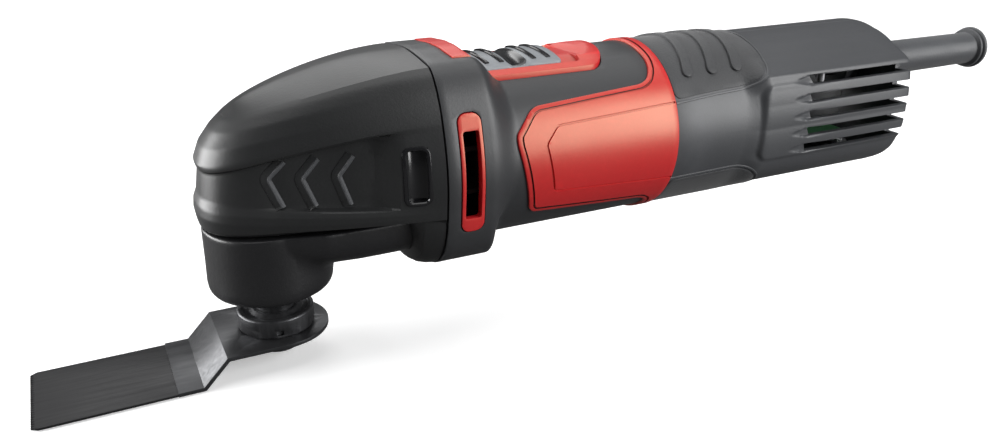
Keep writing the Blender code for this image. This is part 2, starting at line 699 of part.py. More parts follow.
cut(well, rod("well_floor", BARREL_R - 0.4, 50, 120, "X", MOTOR, None, 64))
cut(surround, well)
cut(surround, box("stem_slot", 76.6, 89.6, -3.3, 3.3, 80, 95))

button_plan = rounded(BUTTON_FRONT, BUTTON_REAR, -BUTTON_HALF_WIDTH, BUTTON_HALF_WIDTH, 1.3, 3)
button = prism("switch_button", button_plan, "Z", AXIS_Z + 12, 95, SILVER)
keep(button, rod("button_top", BARREL_R + 1.5, 55, 110, "X", MOTOR, None, 64))
cut(button, rod("button_underside", BARREL_R - 0.1, 54, 111, "X", MOTOR, None, 64))
for x in (69.5, 74.5, 85.3, 90.3):
    rib = box(f"button_rib_{x}", x - 0.6, x + 0.6, -9.5, 9.5, AXIS_Z + 26.5, AXIS_Z + 32)
    keep(rib, rod(f"rib_top_{x}", BARREL_R + 1.95, 60, 100, "X", MOTOR, None, 64))
    cut(rib, rod(f"rib_underside_{x}", BARREL_R + 0.6, 59, 101, "X", MOTOR, None, 64))
    join(button, rib)
join(button, box("button_stem", 77.0, 83.0, -2.9, 2.9, 83.6, 88.0))
cut(button, rod("thumb_dish", 9.0, -20, 20, "Y", (79.9, 0, AXIS_Z + 38.9), None, 24))
box("switch_link", 76.8, 176.0, -2.6, 2.6, 82.35, 83.45, BLACK)

side_view = (
    (125.1, 95), (125.1, 84.2), (123.5, 81.3), (121.9, 79.3), (119.0, 78.1), (103.7, 77.3), (79.4, 75.8),
    (77.3, 74.7), (71.0, 68.2), (71.1, 65.2), (73.1, 56.3), (76.4, 43.1), (78.2, 41.3), (121.4, 38.2),
    (124.1, 36.0), (125.1, 34.0), (125.1, 20), (BAND_X, 20), (BAND_X, 95),
)
accent = tube(
    "accent_band",
    [body_ring(x, 0.7) for x in (69.5, 72.4, 75.2, BAND_X)],
    [body_ring(x, 0.12) for x in (69.5, 72.4, 75.2, BAND_X)],
    RED,
)
keep(accent, prism("accent_outline", list(side_view), "Y", -40, 40))

for side, hand in ((-1, "left"), (1, "right")):
    reach = sorted((side * 12, side * 45))
    cut(body, prism(f"vent_opening_{hand}", rounded(SLOT_X0, SLOT_X1, SLOT_Z0, SLOT_Z1, 2.6), "Y", *reach))
    frame = tube(
        f"vent_frame_{hand}",
        [body_ring(x, 0.3) for x in (48.5, 61)],
        [body_ring(x, -2.3) for x in (48.5, 61)],
        RED,
    )
    plan = rounded(SLOT_X0 + 0.2, SLOT_X1 - 0.2, SLOT_Z0 + 0.2, SLOT_Z1 - 0.2, 2.4)
    keep(frame, prism(f"vent_frame_plan_{hand}", plan, "Y", *reach))
    hole = rounded(SLOT_X0 + 1.3, SLOT_X1 - 1.3, SLOT_Z0 + 4.4, SLOT_Z1 - 5.0, 1.0, 2)
    cut(frame, prism(f"vent_frame_hole_{hand}", hole, "Y", *reach))

# ---------------------------------------------------------------- handle
handle_x = (BAND_X + 0.15, 157.0, 160.0, 162.5, 165.0, 167.5, 233.6, REAR_X)
HANDLE_SCREWS = (         # X, Z, seat of the head, end of the boss
    (176.0, 72.0, 24.2, 26.8), (176.0, 43.0, 21.2, 23.6), (226.0, 40.0, 17.0, 19.6),
)


def split(points, side):
    """Moves the points on the middle plane a little to one side, for the gap between the shells."""
    return [(x, y + side * 0.1, z) if abs(y) < 0.01 else (x, y, z) for x, y, z in points]


shells = {}
for side, hand in ((-1, "left"), (1, "right")):
    angles = [side * a for a in HALF_ANGLES]
    fewer = [angles[0]] + angles[1:-1:2] + [angles[-1]]
    rings = []
    for x in handle_x:
        rim = -1.1 if x == REAR_X else 0.0
        outside = split(body_ring(x, rim, angles), side)
        inside = split(body_ring(x, -WALL, fewer), side)
        rings.append(outside + list(reversed(inside)))
    shell = loft(f"handle_shell_{hand}", rings, BODY)
    wall = [split(body_ring(x, -1.3, angles), side) for x in (REAR_X - WALL - 0.1, REAR_X - 0.02)]
    join(shell, loft(f"rear_wall_{hand}", wall))
    for number, (x, z, seat, end) in enumerate(HANDLE_SCREWS):
        low, high = sorted((side * 0.1, side * end))
        join(shell, rod(f"screw_boss_{hand}_{number}", 3.9, low, high, "Y", (x, 0, z), None, 12))
        low, high = (-10, 40) if side > 0 else (-14, 5)
        cut(shell, rod(f"screw_hole_{hand}_{number}", 1.7, low, high, "Y", (x, 0, z), None, 8))
        if side > 0:
            cut(shell, rod(f"screw_sink_{number}", 3.3, seat - 0.2, 40, "Y", (x, 0, z), None, 14))
    shells[hand] = shell

for number, (x, z, seat, _) in enumerate(HANDLE_SCREWS, 1):
    screw = turned(
        f"handle_screw_{number}",
        [(0, seat + 2.2), (2.3, seat + 2.2), (2.9, seat + 1.4), (2.9, seat), (1.5, seat), (1.5, -11),
         (0, -12.5)],
        "Y", (x, 0, z), STEEL, 12,
    )
    cut(screw, box(f"screw_cross_a_{number}", x - 1.5, x + 1.5, seat + 1.2, seat + 3, z - 0.35, z + 0.35))
    cut(screw, box(f"screw_cross_b_{number}", x - 0.35, x + 0.35, seat + 1.2, seat + 3, z - 1.5, z + 1.5))


def grip_pad(name, plan, low, high, grow):
    """A curved pad let into the handle, from its plan outline."""
    stations = (BAND_X - 3, 157.0, 160.0, 162.5, 165.0, 167.5, 176)
    proud = 0.25 if grow == 0 else 4.0
    deep = -1.6 - (0.35 if grow else 0)
    pad = tube(
        name, [body_ring(x, proud) for x in stations], [body_ring(x, deep) for x in stations],
        GRIP if grow == 0 else None,
    )
    keep(pad, prism(f"{name}_plan", plan, "Z", low, high))
    return pad


def mirrored(points):
    return list(points) + [(x, -y) for x, y in reversed(points) if abs(y) > 0.01]


TOP_GRIP_EDGE = ((163.0, -24.8), (168.0, -23.0), (170.2, -20.3), (171.8, -13.0), (172.2, 0.0))
BOTTOM_GRIP_EDGE = ((162.4, -25.0), (167.5, -23.8), (169.8, -21.5), (170.8, -18.0), (171.0, 0.0))
for name, edge, low, high in (
    ("top_grip", TOP_GRIP_EDGE, AXIS_Z + 4, 100), ("bottom_grip", BOTTOM_GRIP_EDGE, 10, AXIS_Z - 4),
):
    front = BAND_X + 0.4
    plan = mirrored(((front, -24.9),) + edge)
    grip_pad(name, plan, low, high, 0)
    wider = mirrored(((BAND_X - 1, -25.1),) + tuple((x + 0.2, y - 0.2 if y else 0.0) for x, y in edge))
    for hand, shell in shells.items():
        cut(shell, grip_pad(f"{name}_seat_{hand}", wider, low, high, 1))

for side, hand in ((-1, "left"), (1, "right")):
    for number in range(5):
        low = VENT_FIRST_Z + VENT_PITCH * number
        high = low + VENT_HEIGHT
        reach = sorted((side * 23.6, side * 40))
        slot = [(VENT_X - 1.5, high), (VENT_X, low), (REAR_X + 3, low), (REAR_X + 3, high)]
        cut(shells[hand], prism(f"vent_{hand}_{number}", slot, "Y", *reach))

for hand in ("left", "right"):
    cut(shells[hand], rod(f"sleeve_opening_{hand}", 7.3, 225, 240, "X", (0, 0, SLEEVE_Z), None, 28))
cut(shells["right"], box("dial_slot", 203.5, 218.5, 12, 40, 35.5, 40.4))

turned(
    "cord_sleeve",
    [(4.0, 224.0), (9.0, 224.0), (9.0, 227.0), (7.0, 227.0), (6.9, 240.0), (6.5, 301.6), (8.0, 302.2),
     (8.0, 303.3), (7.4, 303.5), (8.6, 304.2), (8.6, 305.2), (8.0, SLEEVE_END), (5.6, SLEEVE_END),
     (4.6, 303.6), (4.2, 300.0)],
    "X", (0, 0, SLEEVE_Z), RUBBER, 24,
)

# ---------------------------------------------------------------- electrics
box("switch_module", 181.0, 201.0, -8.5, 8.5, 64.0, 82.0, BLACK, 0.8)
box("speed_module", 184.0, 220.0, -15.0, 15.0, 44.0, 47.6, BOARD, 0.4)
knurl = []
for i in range(32):
    a, r = math.radians(11.25 * i), 6.6 if i % 2 else 6.0
    knurl.append((211.0 + r * math.cos(a), DIAL_Y + r * math.sin(a)))
dial = prism("speed_dial", knurl, "Z", 36.0, 38.4, BLACK, (211.0, DIAL_Y, 37.2))
shaft = rod("dial_shaft", 1.5, 37.0, 43.7, "Z", (211.0, DIAL_Y, 0), None, 10)
join(dial, shaft)
clamp = box("cord_clamp", 207.5, 214.5, -11.5, 11.5, 72.2, 75.0, BLACK, 0.5)
for number, y in enumerate((-8.6, 8.6), 1):
    cut(clamp, rod(f"clamp_hole_{number}", 1.6, 70, 78, "Z", (211.0, y, 0), None, 12))
    turned(
        f"cord_clamp_screw_{number}",
        [(0, 77.2), (2.4, 77.2), (2.8, 76.6), (2.8, 75.1), (1.45, 75.1), (1.45, 66.0), (0, 65.0)],
        "Z", (211.0, y, 0), STEEL, 14,
    )

for number, (y, z) in enumerate(((-22.0, 51.5), (22.0, 51.5), (-19.2, 75.6), (19.2, 75.6)), 1):
    for target in (case, plate):
        cut(target, rod(f"flange_hole_{number}_{target.name}", 2.1, 30, 70, "X", (0, y, z), None, 8))
    turned(
        f"gearbox_screw_{number}",
        [(0, 38.7), (3.2, 38.7), (3.2, 41.95), (1.9, 41.95), (1.9, 52.0), (0, 53.0)],
        "X", (0, y, z), STEEL, 10,
    )

# ---------------------------------------------------------------- joint axis of the rotor
rotor_axis = bpy.data.objects.new("rotor_axis", None)
rotor_axis.parent = root
rotor_axis.location = Vector(MOTOR) * MM
parts.objects.link(rotor_axis)
for name in (
    "rotor_shaft", "eccentric_hub", "eccentric_bearing", "fan", "rotor_core", "rotor_winding_front",
    "rotor_winding_rear", "commutator",
):
    ob = bpy.data.objects[name]
    ob.parent = rotor_axis
    ob.location -= rotor_axis.location
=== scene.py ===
"""Looks for the oscillating multi tool: smooth detailed pieces, materials, light and camera.

Lengths are millimetres in the tool frame: the spindle's axis is X=0, Y=0, the cord end
is +X and Z=0 is the underside of the blade.  Angles are degrees from the top, about the
motor axis, and negative on the left side.  world() turns a point to the frame's metres.
"""

import json
from math import ceil, copysign, cos, degrees, exp, hypot, pi, radians, sin, sqrt

import bmesh
import bpy
import numpy as np
from mathutils import Matrix, Vector
from mathutils.bvhtree import BVHTree
from mathutils.geometry import delaunay_2d_cdt

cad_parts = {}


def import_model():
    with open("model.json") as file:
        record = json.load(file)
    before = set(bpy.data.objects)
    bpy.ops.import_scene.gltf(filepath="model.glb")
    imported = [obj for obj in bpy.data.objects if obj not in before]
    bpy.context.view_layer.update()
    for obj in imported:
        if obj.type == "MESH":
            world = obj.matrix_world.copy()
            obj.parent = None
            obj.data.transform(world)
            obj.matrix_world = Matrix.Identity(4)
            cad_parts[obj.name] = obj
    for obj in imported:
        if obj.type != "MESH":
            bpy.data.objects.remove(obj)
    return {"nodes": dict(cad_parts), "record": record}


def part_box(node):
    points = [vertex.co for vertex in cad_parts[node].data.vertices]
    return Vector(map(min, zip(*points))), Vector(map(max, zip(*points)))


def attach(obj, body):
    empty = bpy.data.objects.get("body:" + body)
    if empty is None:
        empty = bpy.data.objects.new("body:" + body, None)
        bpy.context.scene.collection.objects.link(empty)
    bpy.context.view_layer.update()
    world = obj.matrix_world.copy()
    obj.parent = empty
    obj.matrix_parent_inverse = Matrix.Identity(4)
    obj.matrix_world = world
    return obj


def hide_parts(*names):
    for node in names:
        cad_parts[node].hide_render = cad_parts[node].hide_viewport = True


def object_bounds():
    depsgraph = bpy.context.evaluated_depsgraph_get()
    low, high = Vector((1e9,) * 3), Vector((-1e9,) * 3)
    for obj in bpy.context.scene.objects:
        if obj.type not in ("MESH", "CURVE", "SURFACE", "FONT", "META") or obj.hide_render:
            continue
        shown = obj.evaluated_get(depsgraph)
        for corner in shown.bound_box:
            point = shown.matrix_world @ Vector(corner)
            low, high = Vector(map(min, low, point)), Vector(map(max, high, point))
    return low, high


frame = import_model()
cad_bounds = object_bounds()

# ------------------------------------------------------------------ places from the frame
MM = 0.001
washer_low, washer_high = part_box("clamp_washer")
SPINDLE_X = (washer_low.x + washer_high.x) / 2


def along(metres):
    return (metres - SPINDLE_X) / MM


shaft_low, shaft_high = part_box("rotor_shaft")
sleeve_low, sleeve_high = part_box("cord_sleeve")
AXIS_Z = (shaft_low.z + shaft_high.z) / 2 / MM
SLEEVE_Z = (sleeve_low.z + sleeve_high.z) / 2 / MM
SEAM_X = along(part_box("motor_housing")[0].x)
BAND_X = along(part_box("motor_housing")[1].x)
REAR_X = along(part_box("handle_shell_left")[1].x)
SLEEVE_END = along(sleeve_high.x)
BLADE_FRONT = along(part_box("blade")[0].x)

# ------------------------------------------------------------------ sections of the body
GAP = 0.3                 # half the gap at a joint between mouldings
WALL = 2.4
BLOCK_RADII = (
    (0, 33.9), (15, 34.6), (24, 36.0), (31, 37.3), (36, 37.2), (41, 36.5), (47, 35.5),
    (52, 34.6), (61, 33.2), (71, 32.2), (87, 31.7), (104, 32.2), (115, 33.7), (129, 36.0),
    (140, 36.1), (150, 35.3), (165, 33.6), (180, 32.7),
)
BARREL_R = 28.9
HANDLE_RADII = (
    (0, 28.2), (20, 28.5), (41, 30.0), (50, 31.6), (56.8, 33.3), (57.6, 33.4), (58.4, 33.2),
    (66, 32.0), (75, 30.9), (90, 30.0), (105, 30.6), (116, 31.2), (122, 31.4), (130, 30.8), (141, 29.5),
    (157, 28.3), (180, 28.2),
)
HANDLE_START, HANDLE_RAMP = 158, 10      # where the barrel turns into the handle
PLATE_X, PLATE_TOP, PLATE_BOTTOM = 164.0, 60.0, 114.0
PLATE_HEIGHT, PLATE_HOLLOW = 0.55, 0.35
PLATE_R, PLATE_CORNER = 31, 5.0


def world(p):
    return (SPINDLE_X + p[0] * MM, p[1] * MM, p[2] * MM)


def polar(radius, angle):
    a = radians(angle)
    return radius * sin(a), AXIS_Z + radius * cos(a)


def spoke(radius, angle):
    a = radians(angle)
    return radius * cos(a), radius * sin(a)


def bulge(value, power):
    """The value to a power, with its sign kept: for sections between an ellipse and a box."""
    return copysign(abs(value) ** power, value)


def smooth_step(t):
    t = min(1.0, max(0.0, t))
    return t * t * (3 - 2 * t)


def table(rows, at):
    """Straight lines through rows of (at, value)."""
    for (a, ra), (b, rb) in zip(rows, rows[1:]):
        if at <= b:
            return ra + (rb - ra) * (at - a) / (b - a)
    return rows[-1][1]


def curve(rows, at):
    """A smooth curve through rows of (at, value)."""
    at = min(max(at, rows[0][0]), rows[-1][0])
    last = len(rows) - 2
    k = 0
    while k < last and at > rows[k + 1][0]:
        k += 1

    def slope(i):
        a, b = rows[max(i - 1, 0)], rows[min(i + 1, last + 1)]
        return (b[1] - a[1]) / (b[0] - a[0])

    (x0, y0), (x1, y1) = rows[k], rows[k + 1]
    span = x1 - x0
    t = (at - x0) / span
    rise = y0 * (2 * t ** 3 - 3 * t ** 2 + 1) + y1 * (3 * t ** 2 - 2 * t ** 3)
    return rise + span * (slope(k) * (t ** 3 - 2 * t ** 2 + t) + slope(k + 1) * (t ** 3 - t ** 2))


def block_half_width(z):
    """Half width of the gear head's rear section at a height."""
    low, high = 0.0, 180.0
    for _ in range(30):
        middle = (low + high) / 2
        if polar(curve(BLOCK_RADII, middle), middle)[1] > z:
            low = middle
        else:
            high = middle
    return polar(curve(BLOCK_RADII, low), low)[0]


SHOULDER_START = ((0, 61.0), (60, 61.5), (100, 61.0), (125, 61.5), (150, 64.0), (180, 66.0))
SHOULDER_LENGTH = ((0, 9.0), (60, 11.0), (100, 10.0), (125, 6.0), (180, 6.0))


def plate_share(x, angle):
    """How far the raised plate on the handle's side stands out, from 0 to 1."""
    middle = (PLATE_TOP + PLATE_BOTTOM) / 2
    half = radians(PLATE_BOTTOM - PLATE_TOP) / 2 * PLATE_R
    across = abs(radians(angle - middle) * PLATE_R) - half + PLATE_CORNER
    ahead = PLATE_X + PLATE_CORNER - x
    outside = hypot(max(across, 0), max(ahead, 0)) + min(max(across, ahead), 0) - PLATE_CORNER
    return smooth_step(-outside / 2.0)


def body_radius(x, angle):
    """Outer radius of the body at a station and an angle from the top."""
    angle = abs((angle + 180) % 360 - 180)
    if x < 90:
        mix = smooth_step((x - table(SHOULDER_START, angle)) / table(SHOULDER_LENGTH, angle))
        return curve(BLOCK_RADII, angle) * (1 - mix) + BARREL_R * mix
    mix = smooth_step((x - HANDLE_START) / HANDLE_RAMP)
    flat = table(HANDLE_RADII, angle)
    if PLATE_TOP < angle < PLATE_BOTTOM:
        plate = plate_share(x, angle)
        window = smooth_step((angle - PLATE_TOP) / 8) * smooth_step((PLATE_BOTTOM - angle) / 8)
        mix *= 1 - PLATE_HOLLOW * window * (1 - plate)
        flat += PLATE_HEIGHT * plate
    return BARREL_R * (1 - mix) + flat * mix


def body_point(x, arc, height):
    """A point on the body; arc is millimetres round the barrel from the top."""
    angle = degrees(arc / BARREL_R)
    return (x, *polar(body_radius(x, angle) + height, angle))


def arc_of(angle):
    return radians(angle) * BARREL_R


def body_ring(x, offset):
    return [(x, *polar(body_radius(x, 2.5 * i) + offset, 2.5 * i)) for i in range(144)]


# ------------------------------------------------------------------ materials
FINISHES = {}             # materials by name, which is also the record's slot name


def fill(node, **values):
    """Sets values on a node's inputs, with _ for the spaces in their names."""
    for socket, value in values.items():
        node.inputs[socket.replace("_", " ")].default_value = value


class Look:
    """A Principled material, with short calls for its procedural detail."""

    def __init__(self, name, colour, roughness, metallic=0.0, **values):
        self.mat = bpy.data.materials.new(name)
        FINISHES[name] = self.mat
        self.mat.use_nodes = True
        self.tree = self.mat.node_tree
        self.shader = self.tree.nodes["Principled BSDF"]
        self.colour = colour
        fill(self.shader, Base_Color=(*colour, 1), Roughness=roughness, Metallic=metallic, **values)
        self.mat.diffuse_color = (*colour, 1)
        self.place = self.add("TexCoord").outputs["Object"]
        self.surface = None

    def add(self, kind, **settings):
        node = self.tree.nodes.new("ShaderNode" + kind)
        for key, value in settings.items():
            setattr(node, key, value)
        return node

    def join(self, source, target):
        self.tree.links.new(source, target)

    def stretched(self, scale):
        mapping = self.add("Mapping")
        fill(mapping, Scale=scale)
        self.join(self.place, mapping.inputs["Vector"])
        return mapping.outputs["Vector"]

    def noise(self, scale, detail=3.0, stretch=(1, 1, 1)):
        node = self.add("TexNoise")
        fill(node, Scale=scale, Detail=detail)
        self.join(self.stretched(stretch), node.inputs["Vector"])
        return node.outputs["Fac"]

    def cells(self, scale):
        node = self.add("TexVoronoi")
        fill(node, Scale=scale)
        self.join(self.place, node.inputs["Vector"])
        return node.outputs["Distance"]

    def bands(self, scale, direction):
        node = self.add("TexWave", bands_direction=direction)
        fill(node, Scale=scale, Distortion=0.4)
        self.join(self.place, node.inputs["Vector"])
        return node.outputs["Fac"]

    def spread(self, source, low, high, start=0.3, end=0.7):
        node = self.add("MapRange")
        fill(node, From_Min=start, From_Max=end, To_Min=low, To_Max=high)
        self.join(source, node.inputs["Value"])
        return node.outputs["Result"]

    def tint(self, share, colour):
        """Mixes a colour over what is there, by a share from 0 to 1."""
        node = self.add("Mix", data_type="RGBA")
        target = self.shader.inputs["Base Color"]
        if target.is_linked:
            self.join(target.links[0].from_socket, node.inputs["A"])
        else:
            fill(node, A=(*self.colour, 1))
        fill(node, B=(*colour, 1))
        self.join(share, node.inputs["Factor"])
        self.join(node.outputs["Result"], target)

    def rough(self, source, low, high):
        self.join(self.spread(source, low, high), self.shader.inputs["Roughness"])

    def bump(self, source, depth):
        node = self.add("Bump")
        fill(node, Strength=1.0, Distance=depth * MM)
        self.join(source, node.inputs["Height"])
        if self.surface:
            self.join(self.surface, node.inputs["Normal"])
        self.surface = node.outputs["Normal"]
        self.join(self.surface, self.shader.inputs["Normal"])

    def worn_edges(self, colour, share):
        edge = self.add("NewGeometry").outputs["Pointiness"]
        both = self.add("Math", operation="MULTIPLY")
        self.join(self.spread(edge, 0.0, share, 0.53, 0.62), both.inputs[0])
        self.join(self.spread(self.noise(180), 0.3, 1.0), both.inputs[1])
        self.tint(both.outputs[0], colour)


def shade(colour, factor):
    return tuple(min(1.0, c * factor) for c in colour)


def moulded(name, colour, roughness, grain=2600, depth=0.02, **values):
    """Moulded plastic: spark-eroded grain, cloudy colour and polished patches."""
    look = Look(name, colour, roughness, **values)
    look.tint(look.spread(look.noise(22), 0.0, 0.5), shade(colour, 0.9))
    look.tint(look.spread(look.noise(700, 4), 0.0, 0.25, 0.45, 0.75), shade(colour, 1.25))
    look.worn_edges(shade(colour, 2.0), 0.3)
    look.rough(look.noise(35, 3), roughness - 0.02, roughness + 0.04)
    look.bump(look.noise(grain, 2), depth)
    look.bump(look.cells(grain * 0.45), depth * 0.6)
    return look.mat


def rubber(name, colour, roughness):
    """Soft-touch rubber: matt, with lighter dusty patches and a fine pebble."""
    look = Look(name, colour, roughness, Sheen_Weight=0.15, Sheen_Roughness=0.5)
    look.tint(look.spread(look.noise(40, 4), 0.0, 0.5), shade(colour, 1.5))
    look.rough(look.noise(90), roughness - 0.06, roughness + 0.08)
    look.bump(look.cells(1500), 0.05)
    look.bump(look.noise(4200, 2), 0.02)
    return look.mat


def machined(name, colour, roughness, stretch, metallic=1.0, worn=2.0, marks=0.6):
    """Metal with fine cutting or grinding marks drawn out along one direction."""
    look = Look(name, colour, roughness, metallic)
    look.tint(look.spread(look.noise(60, 4), 0.0, marks), shade(colour, 0.7))
    look.worn_edges(shade(colour, worn), 0.6)
    look.rough(look.noise(900, 3, stretch), roughness - 0.08, roughness + 0.1)
    look.bump(look.noise(1500, 3, stretch), 0.012)
    return look.mat


def laminated(name, colour, pitch, direction, roughness):
    """Stacked sheets or wound wire: fine bands across one direction."""
    look = Look(name, colour, roughness, 0.9)
    bands = look.bands(1 / (pitch * MM) / 6.3, direction)
    look.tint(look.spread(bands, 0.0, 0.7, 0.0, 0.5), shade(colour, 0.35))
    look.tint(look.spread(look.noise(150), 0.0, 0.4), shade(colour, 1.4))
    look.rough(look.noise(300), roughness - 0.08, roughness + 0.1)
    look.bump(bands, 0.15)
    return look.mat


def printed_board():
    look = Look("circuit_board", (0.008, 0.04, 0.018), 0.45)
    look.tint(look.spread(look.bands(90, "X"), 0.0, 0.8, 0.85, 0.95), (0.25, 0.35, 0.1))
    look.tint(look.spread(look.cells(260), 0.6, 0.0, 0.12, 0.2), (0.25, 0.2, 0.1))
    look.rough(look.noise(200), 0.35, 0.55)
    look.bump(look.cells(260), 0.1)
    return look.mat


HOOD = moulded("hood_plastic", (0.014, 0.0145, 0.015), 0.40)
# The hood plastic again, about four times lighter: a painted highlight for the arrows' crests.
HOOD_PAINTED_HIGHLIGHT = moulded("hood_plastic_painted_highlight", (0.060, 0.062, 0.066), 0.36)
CASTING = moulded("gear_case", (0.011, 0.011, 0.012), 0.34, 1800, 0.03)
BODY = moulded("body_plastic", (0.026, 0.027, 0.029), 0.42)
REAR = moulded("rear_plastic", (0.048, 0.050, 0.054), 0.44)
GRIP = rubber("grip_rubber", (0.024, 0.025, 0.027), 0.58)
RED = moulded("red_plastic", (0.50, 0.014, 0.020), 0.36, 2400, 0.012, Specular_IOR_Level=0.75,
             Specular_Tint=(1.0, 0.92, 0.62, 1))
BUTTON = moulded("button_plastic", (0.20, 0.215, 0.23), 0.38, 2400, 0.012)
GLOSS = moulded("black_gloss", (0.008, 0.008, 0.009), 0.16, 2400, 0.004)
BLADE_LOOK = machined("blade_steel", (0.060, 0.061, 0.064), 0.36, (0.05, 1, 1), 0.75, 1.6, marks=0.25)
HARDENED = machined("hardened_steel", (0.016, 0.016, 0.017), 0.44, (0.05, 1, 1), 0.55, 1.8, marks=0.25)
OXIDE = machined("black_steel", (0.075, 0.076, 0.080), 0.40, (1, 1, 0.08), 0.8, 2.0)
machined("bright_steel", (0.52, 0.53, 0.55), 0.28, (0.1, 1, 1), 1.0, 1.3)
SLEEVE_LOOK = rubber("sleeve_rubber", (0.042, 0.044, 0.048), 0.42)
laminated("motor_iron", (0.30, 0.30, 0.32), 0.5, "X", 0.45)
laminated("copper_wire", (0.62, 0.24, 0.09), 0.7, "Y", 0.32)
laminated("copper_bar", (0.72, 0.36, 0.18), 1.6, "Z", 0.28)
machined("brass", (0.62, 0.44, 0.16), 0.32, (1, 0.1, 1), 1.0, 1.3)
machined("carbon", (0.030, 0.030, 0.032), 0.6, (1, 0.2, 1), 0.2, 1.5)
moulded("fan_plastic", (0.018, 0.018, 0.019), 0.4)
INNER = moulded("inner_plastic", (0.025, 0.025, 0.027), 0.5)
printed_board()


# ------------------------------------------------------------------ mesh tools
def edited(meshes, change=None):
    """Joins the meshes into the first, with a change made to the bmesh on the way."""
    bm = bmesh.new()
    for mesh in meshes:
        bm.from_mesh(mesh)
    if change:
        change(bm)
    bm.to_mesh(meshes[0])
    bm.free()


def weld(distance):
    def change(bm):
        bmesh.ops.remove_doubles(bm, verts=bm.verts, dist=distance)
        bmesh.ops.recalc_face_normals(bm, faces=bm.faces)
    return change


def in_scene(name, data):
    ob = bpy.data.objects.new(name, data)
    bpy.context.scene.collection.objects.link(ob)
    return ob


def new_mesh(name, points, faces, look=None):
    mesh = bpy.data.meshes.new(name)
    mesh.from_pydata([world(p) for p in points], [], faces)
    edited([mesh], weld(1e-6))
    if look:
        mesh.materials.append(look)
    ob = in_scene(name, mesh)
    shade_smooth(ob)
    return ob


def shade_smooth(ob, angle=32):
    ob.data.shade_smooth()
    ob.data.set_sharp_from_angle(angle=radians(angle))


def settle(ob, smooth=32):
    """Turns the object's modifiers into its mesh."""
    graph = bpy.context.evaluated_depsgraph_get()
    graph.update()
    mesh = bpy.data.meshes.new_from_object(ob.evaluated_get(graph))
    old = ob.data
    ob.modifiers.clear()
    ob.data = mesh
    bpy.data.meshes.remove(old)
    shade_smooth(ob, smooth)
    return ob


def boolean(target, tools, operation="DIFFERENCE"):
    for tool in tools:
        mod = target.modifiers.new("boolean", "BOOLEAN")
        mod.operation = operation
        mod.solver = "EXACT"
        mod.object = tool
    settle(target)
    for tool in tools:
        bpy.data.objects.remove(tool, do_unlink=True)
    return target


def rounded_edges(ob, width, segments=2, angle=38):
    mod = ob.modifiers.new("edges", "BEVEL")
    mod.width = width * MM
    mod.segments = segments
    mod.limit_method = "ANGLE"
    mod.angle_limit = radians(angle)
    mod.use_clamp_overlap = True
    return settle(ob, 40)


def merged(name, obs):
    """Joins the meshes of several objects into the first."""
    edited([ob.data for ob in obs])
    for ob in obs[1:]:
        bpy.data.objects.remove(ob, do_unlink=True)
    obs[0].name = name
    shade_smooth(obs[0])
    return obs[0]


def loft(name, rings, look=None, caps=True, closed=True):
    """A skin through rings of the same count of points."""
    count = len(rings[0])
    points = [p for ring in rings for p in ring]
    faces = []
    for r in range(len(rings) - 1):
        for i in range(count if closed else count - 1):
            j = (i + 1) % count
            a, b = r * count, (r + 1) * count
            faces.append((a + i, a + j, b + j, b + i))
    if caps:
        faces.append(tuple(range(count)))
        faces.append(tuple(range(len(points) - count, len(points))))
    return new_mesh(name, points, faces, look)


def on_axis(axis, u, v, h):
    """The point with h along the axis, and u and v along the other two."""
    return {"X": (h, u, v), "Y": (u, h, v), "Z": (u, v, h)}[axis]


def prism(name, outline, axis, low, high, look=None):
    return loft(name, [[on_axis(axis, u, v, h) for u, v in outline] for h in (low, high)], look)


def rounded(u0, u1, v0, v1, radius, count=8):
    corners = ((u1, v1, 0), (u0, v1, 90), (u0, v0, 180), (u1, v0, 270))
    outline = []
    for u, v, start in corners:
        cu = u - radius if u == u1 else u + radius
        cv = v - radius if v == v1 else v + radius
        for i in range(count + 1):
            du, dv = spoke(radius, start + 90 * i / count)
            outline.append((cu + du, cv + dv))
    return outline


def turned(name, profile, axis, centre, look=None, steps=72):
    """A profile of (radius, height) turned about an axis through the centre."""
    rings = []
    for r, h in profile:
        ring = []
        for i in range(steps):
            a = 2 * pi * i / steps
            spot = on_axis(axis, max(r, 0.001) * cos(a), max(r, 0.001) * sin(a), h)
            ring.append(tuple(c + d for c, d in zip(centre, spot)))
        rings.append(ring)
    caps = profile[0] != profile[-1]
    return loft(name, rings, look, caps)


def round_corners(path, radius, closed=True, steps=5, share=0.45):
    """The path with each corner replaced by a curve."""
    count = len(path)
    soft = []
    for i, here in enumerate(path):
        if not closed and i in (0, count - 1):
            soft.append(tuple(here))
            continue
        p, q, s = Vector(path[i - 1]), Vector(here), Vector(path[(i + 1) % count])
        reach = min(radius, (p - q).length * share, (s - q).length * share)
        a = q + (p - q).normalized() * reach
        b = q + (s - q).normalized() * reach
        for k in range(steps + 1):
            t = k / steps
            soft.append(tuple(a * (1 - t) ** 2 + q * 2 * t * (1 - t) + b * t * t))
    return soft


def filleted(profile, radius=0.4):
    return round_corners(profile, radius, False, 3, 0.4)


def dense(path, step, closed):
    """The path with points at most a step apart."""
    ends = list(path[1:]) + ([path[0]] if closed else [])
    fine = []
    for a, b in zip(path, ends):
        a, b = Vector(a), Vector(b)
        parts = max(1, ceil((b - a).length / step))
        fine.extend(tuple(a.lerp(b, i / parts)) for i in range(parts))
    if not closed:
        fine.append(tuple(path[-1]))
    return fine


def side_normals(path, closed):
    """Unit normals of a flat path, to its left."""
    count = len(path)
    normals = []
    for i in range(count):
        a = Vector(path[i - 1] if closed or i else path[0])
        b = Vector(path[(i + 1) % count] if closed or i < count - 1 else path[-1])
        d = (b - a).normalized()
        normals.append(Vector((-d.y, d.x)))
    return normals


def moved(point, normal, distance):
    return point[0] + normal.x * distance, point[1] + normal.y * distance


def inset(path, distance):
    """An open path moved to its left."""
    return [moved(p, n, distance) for p, n in zip(path, side_normals(path, False))]


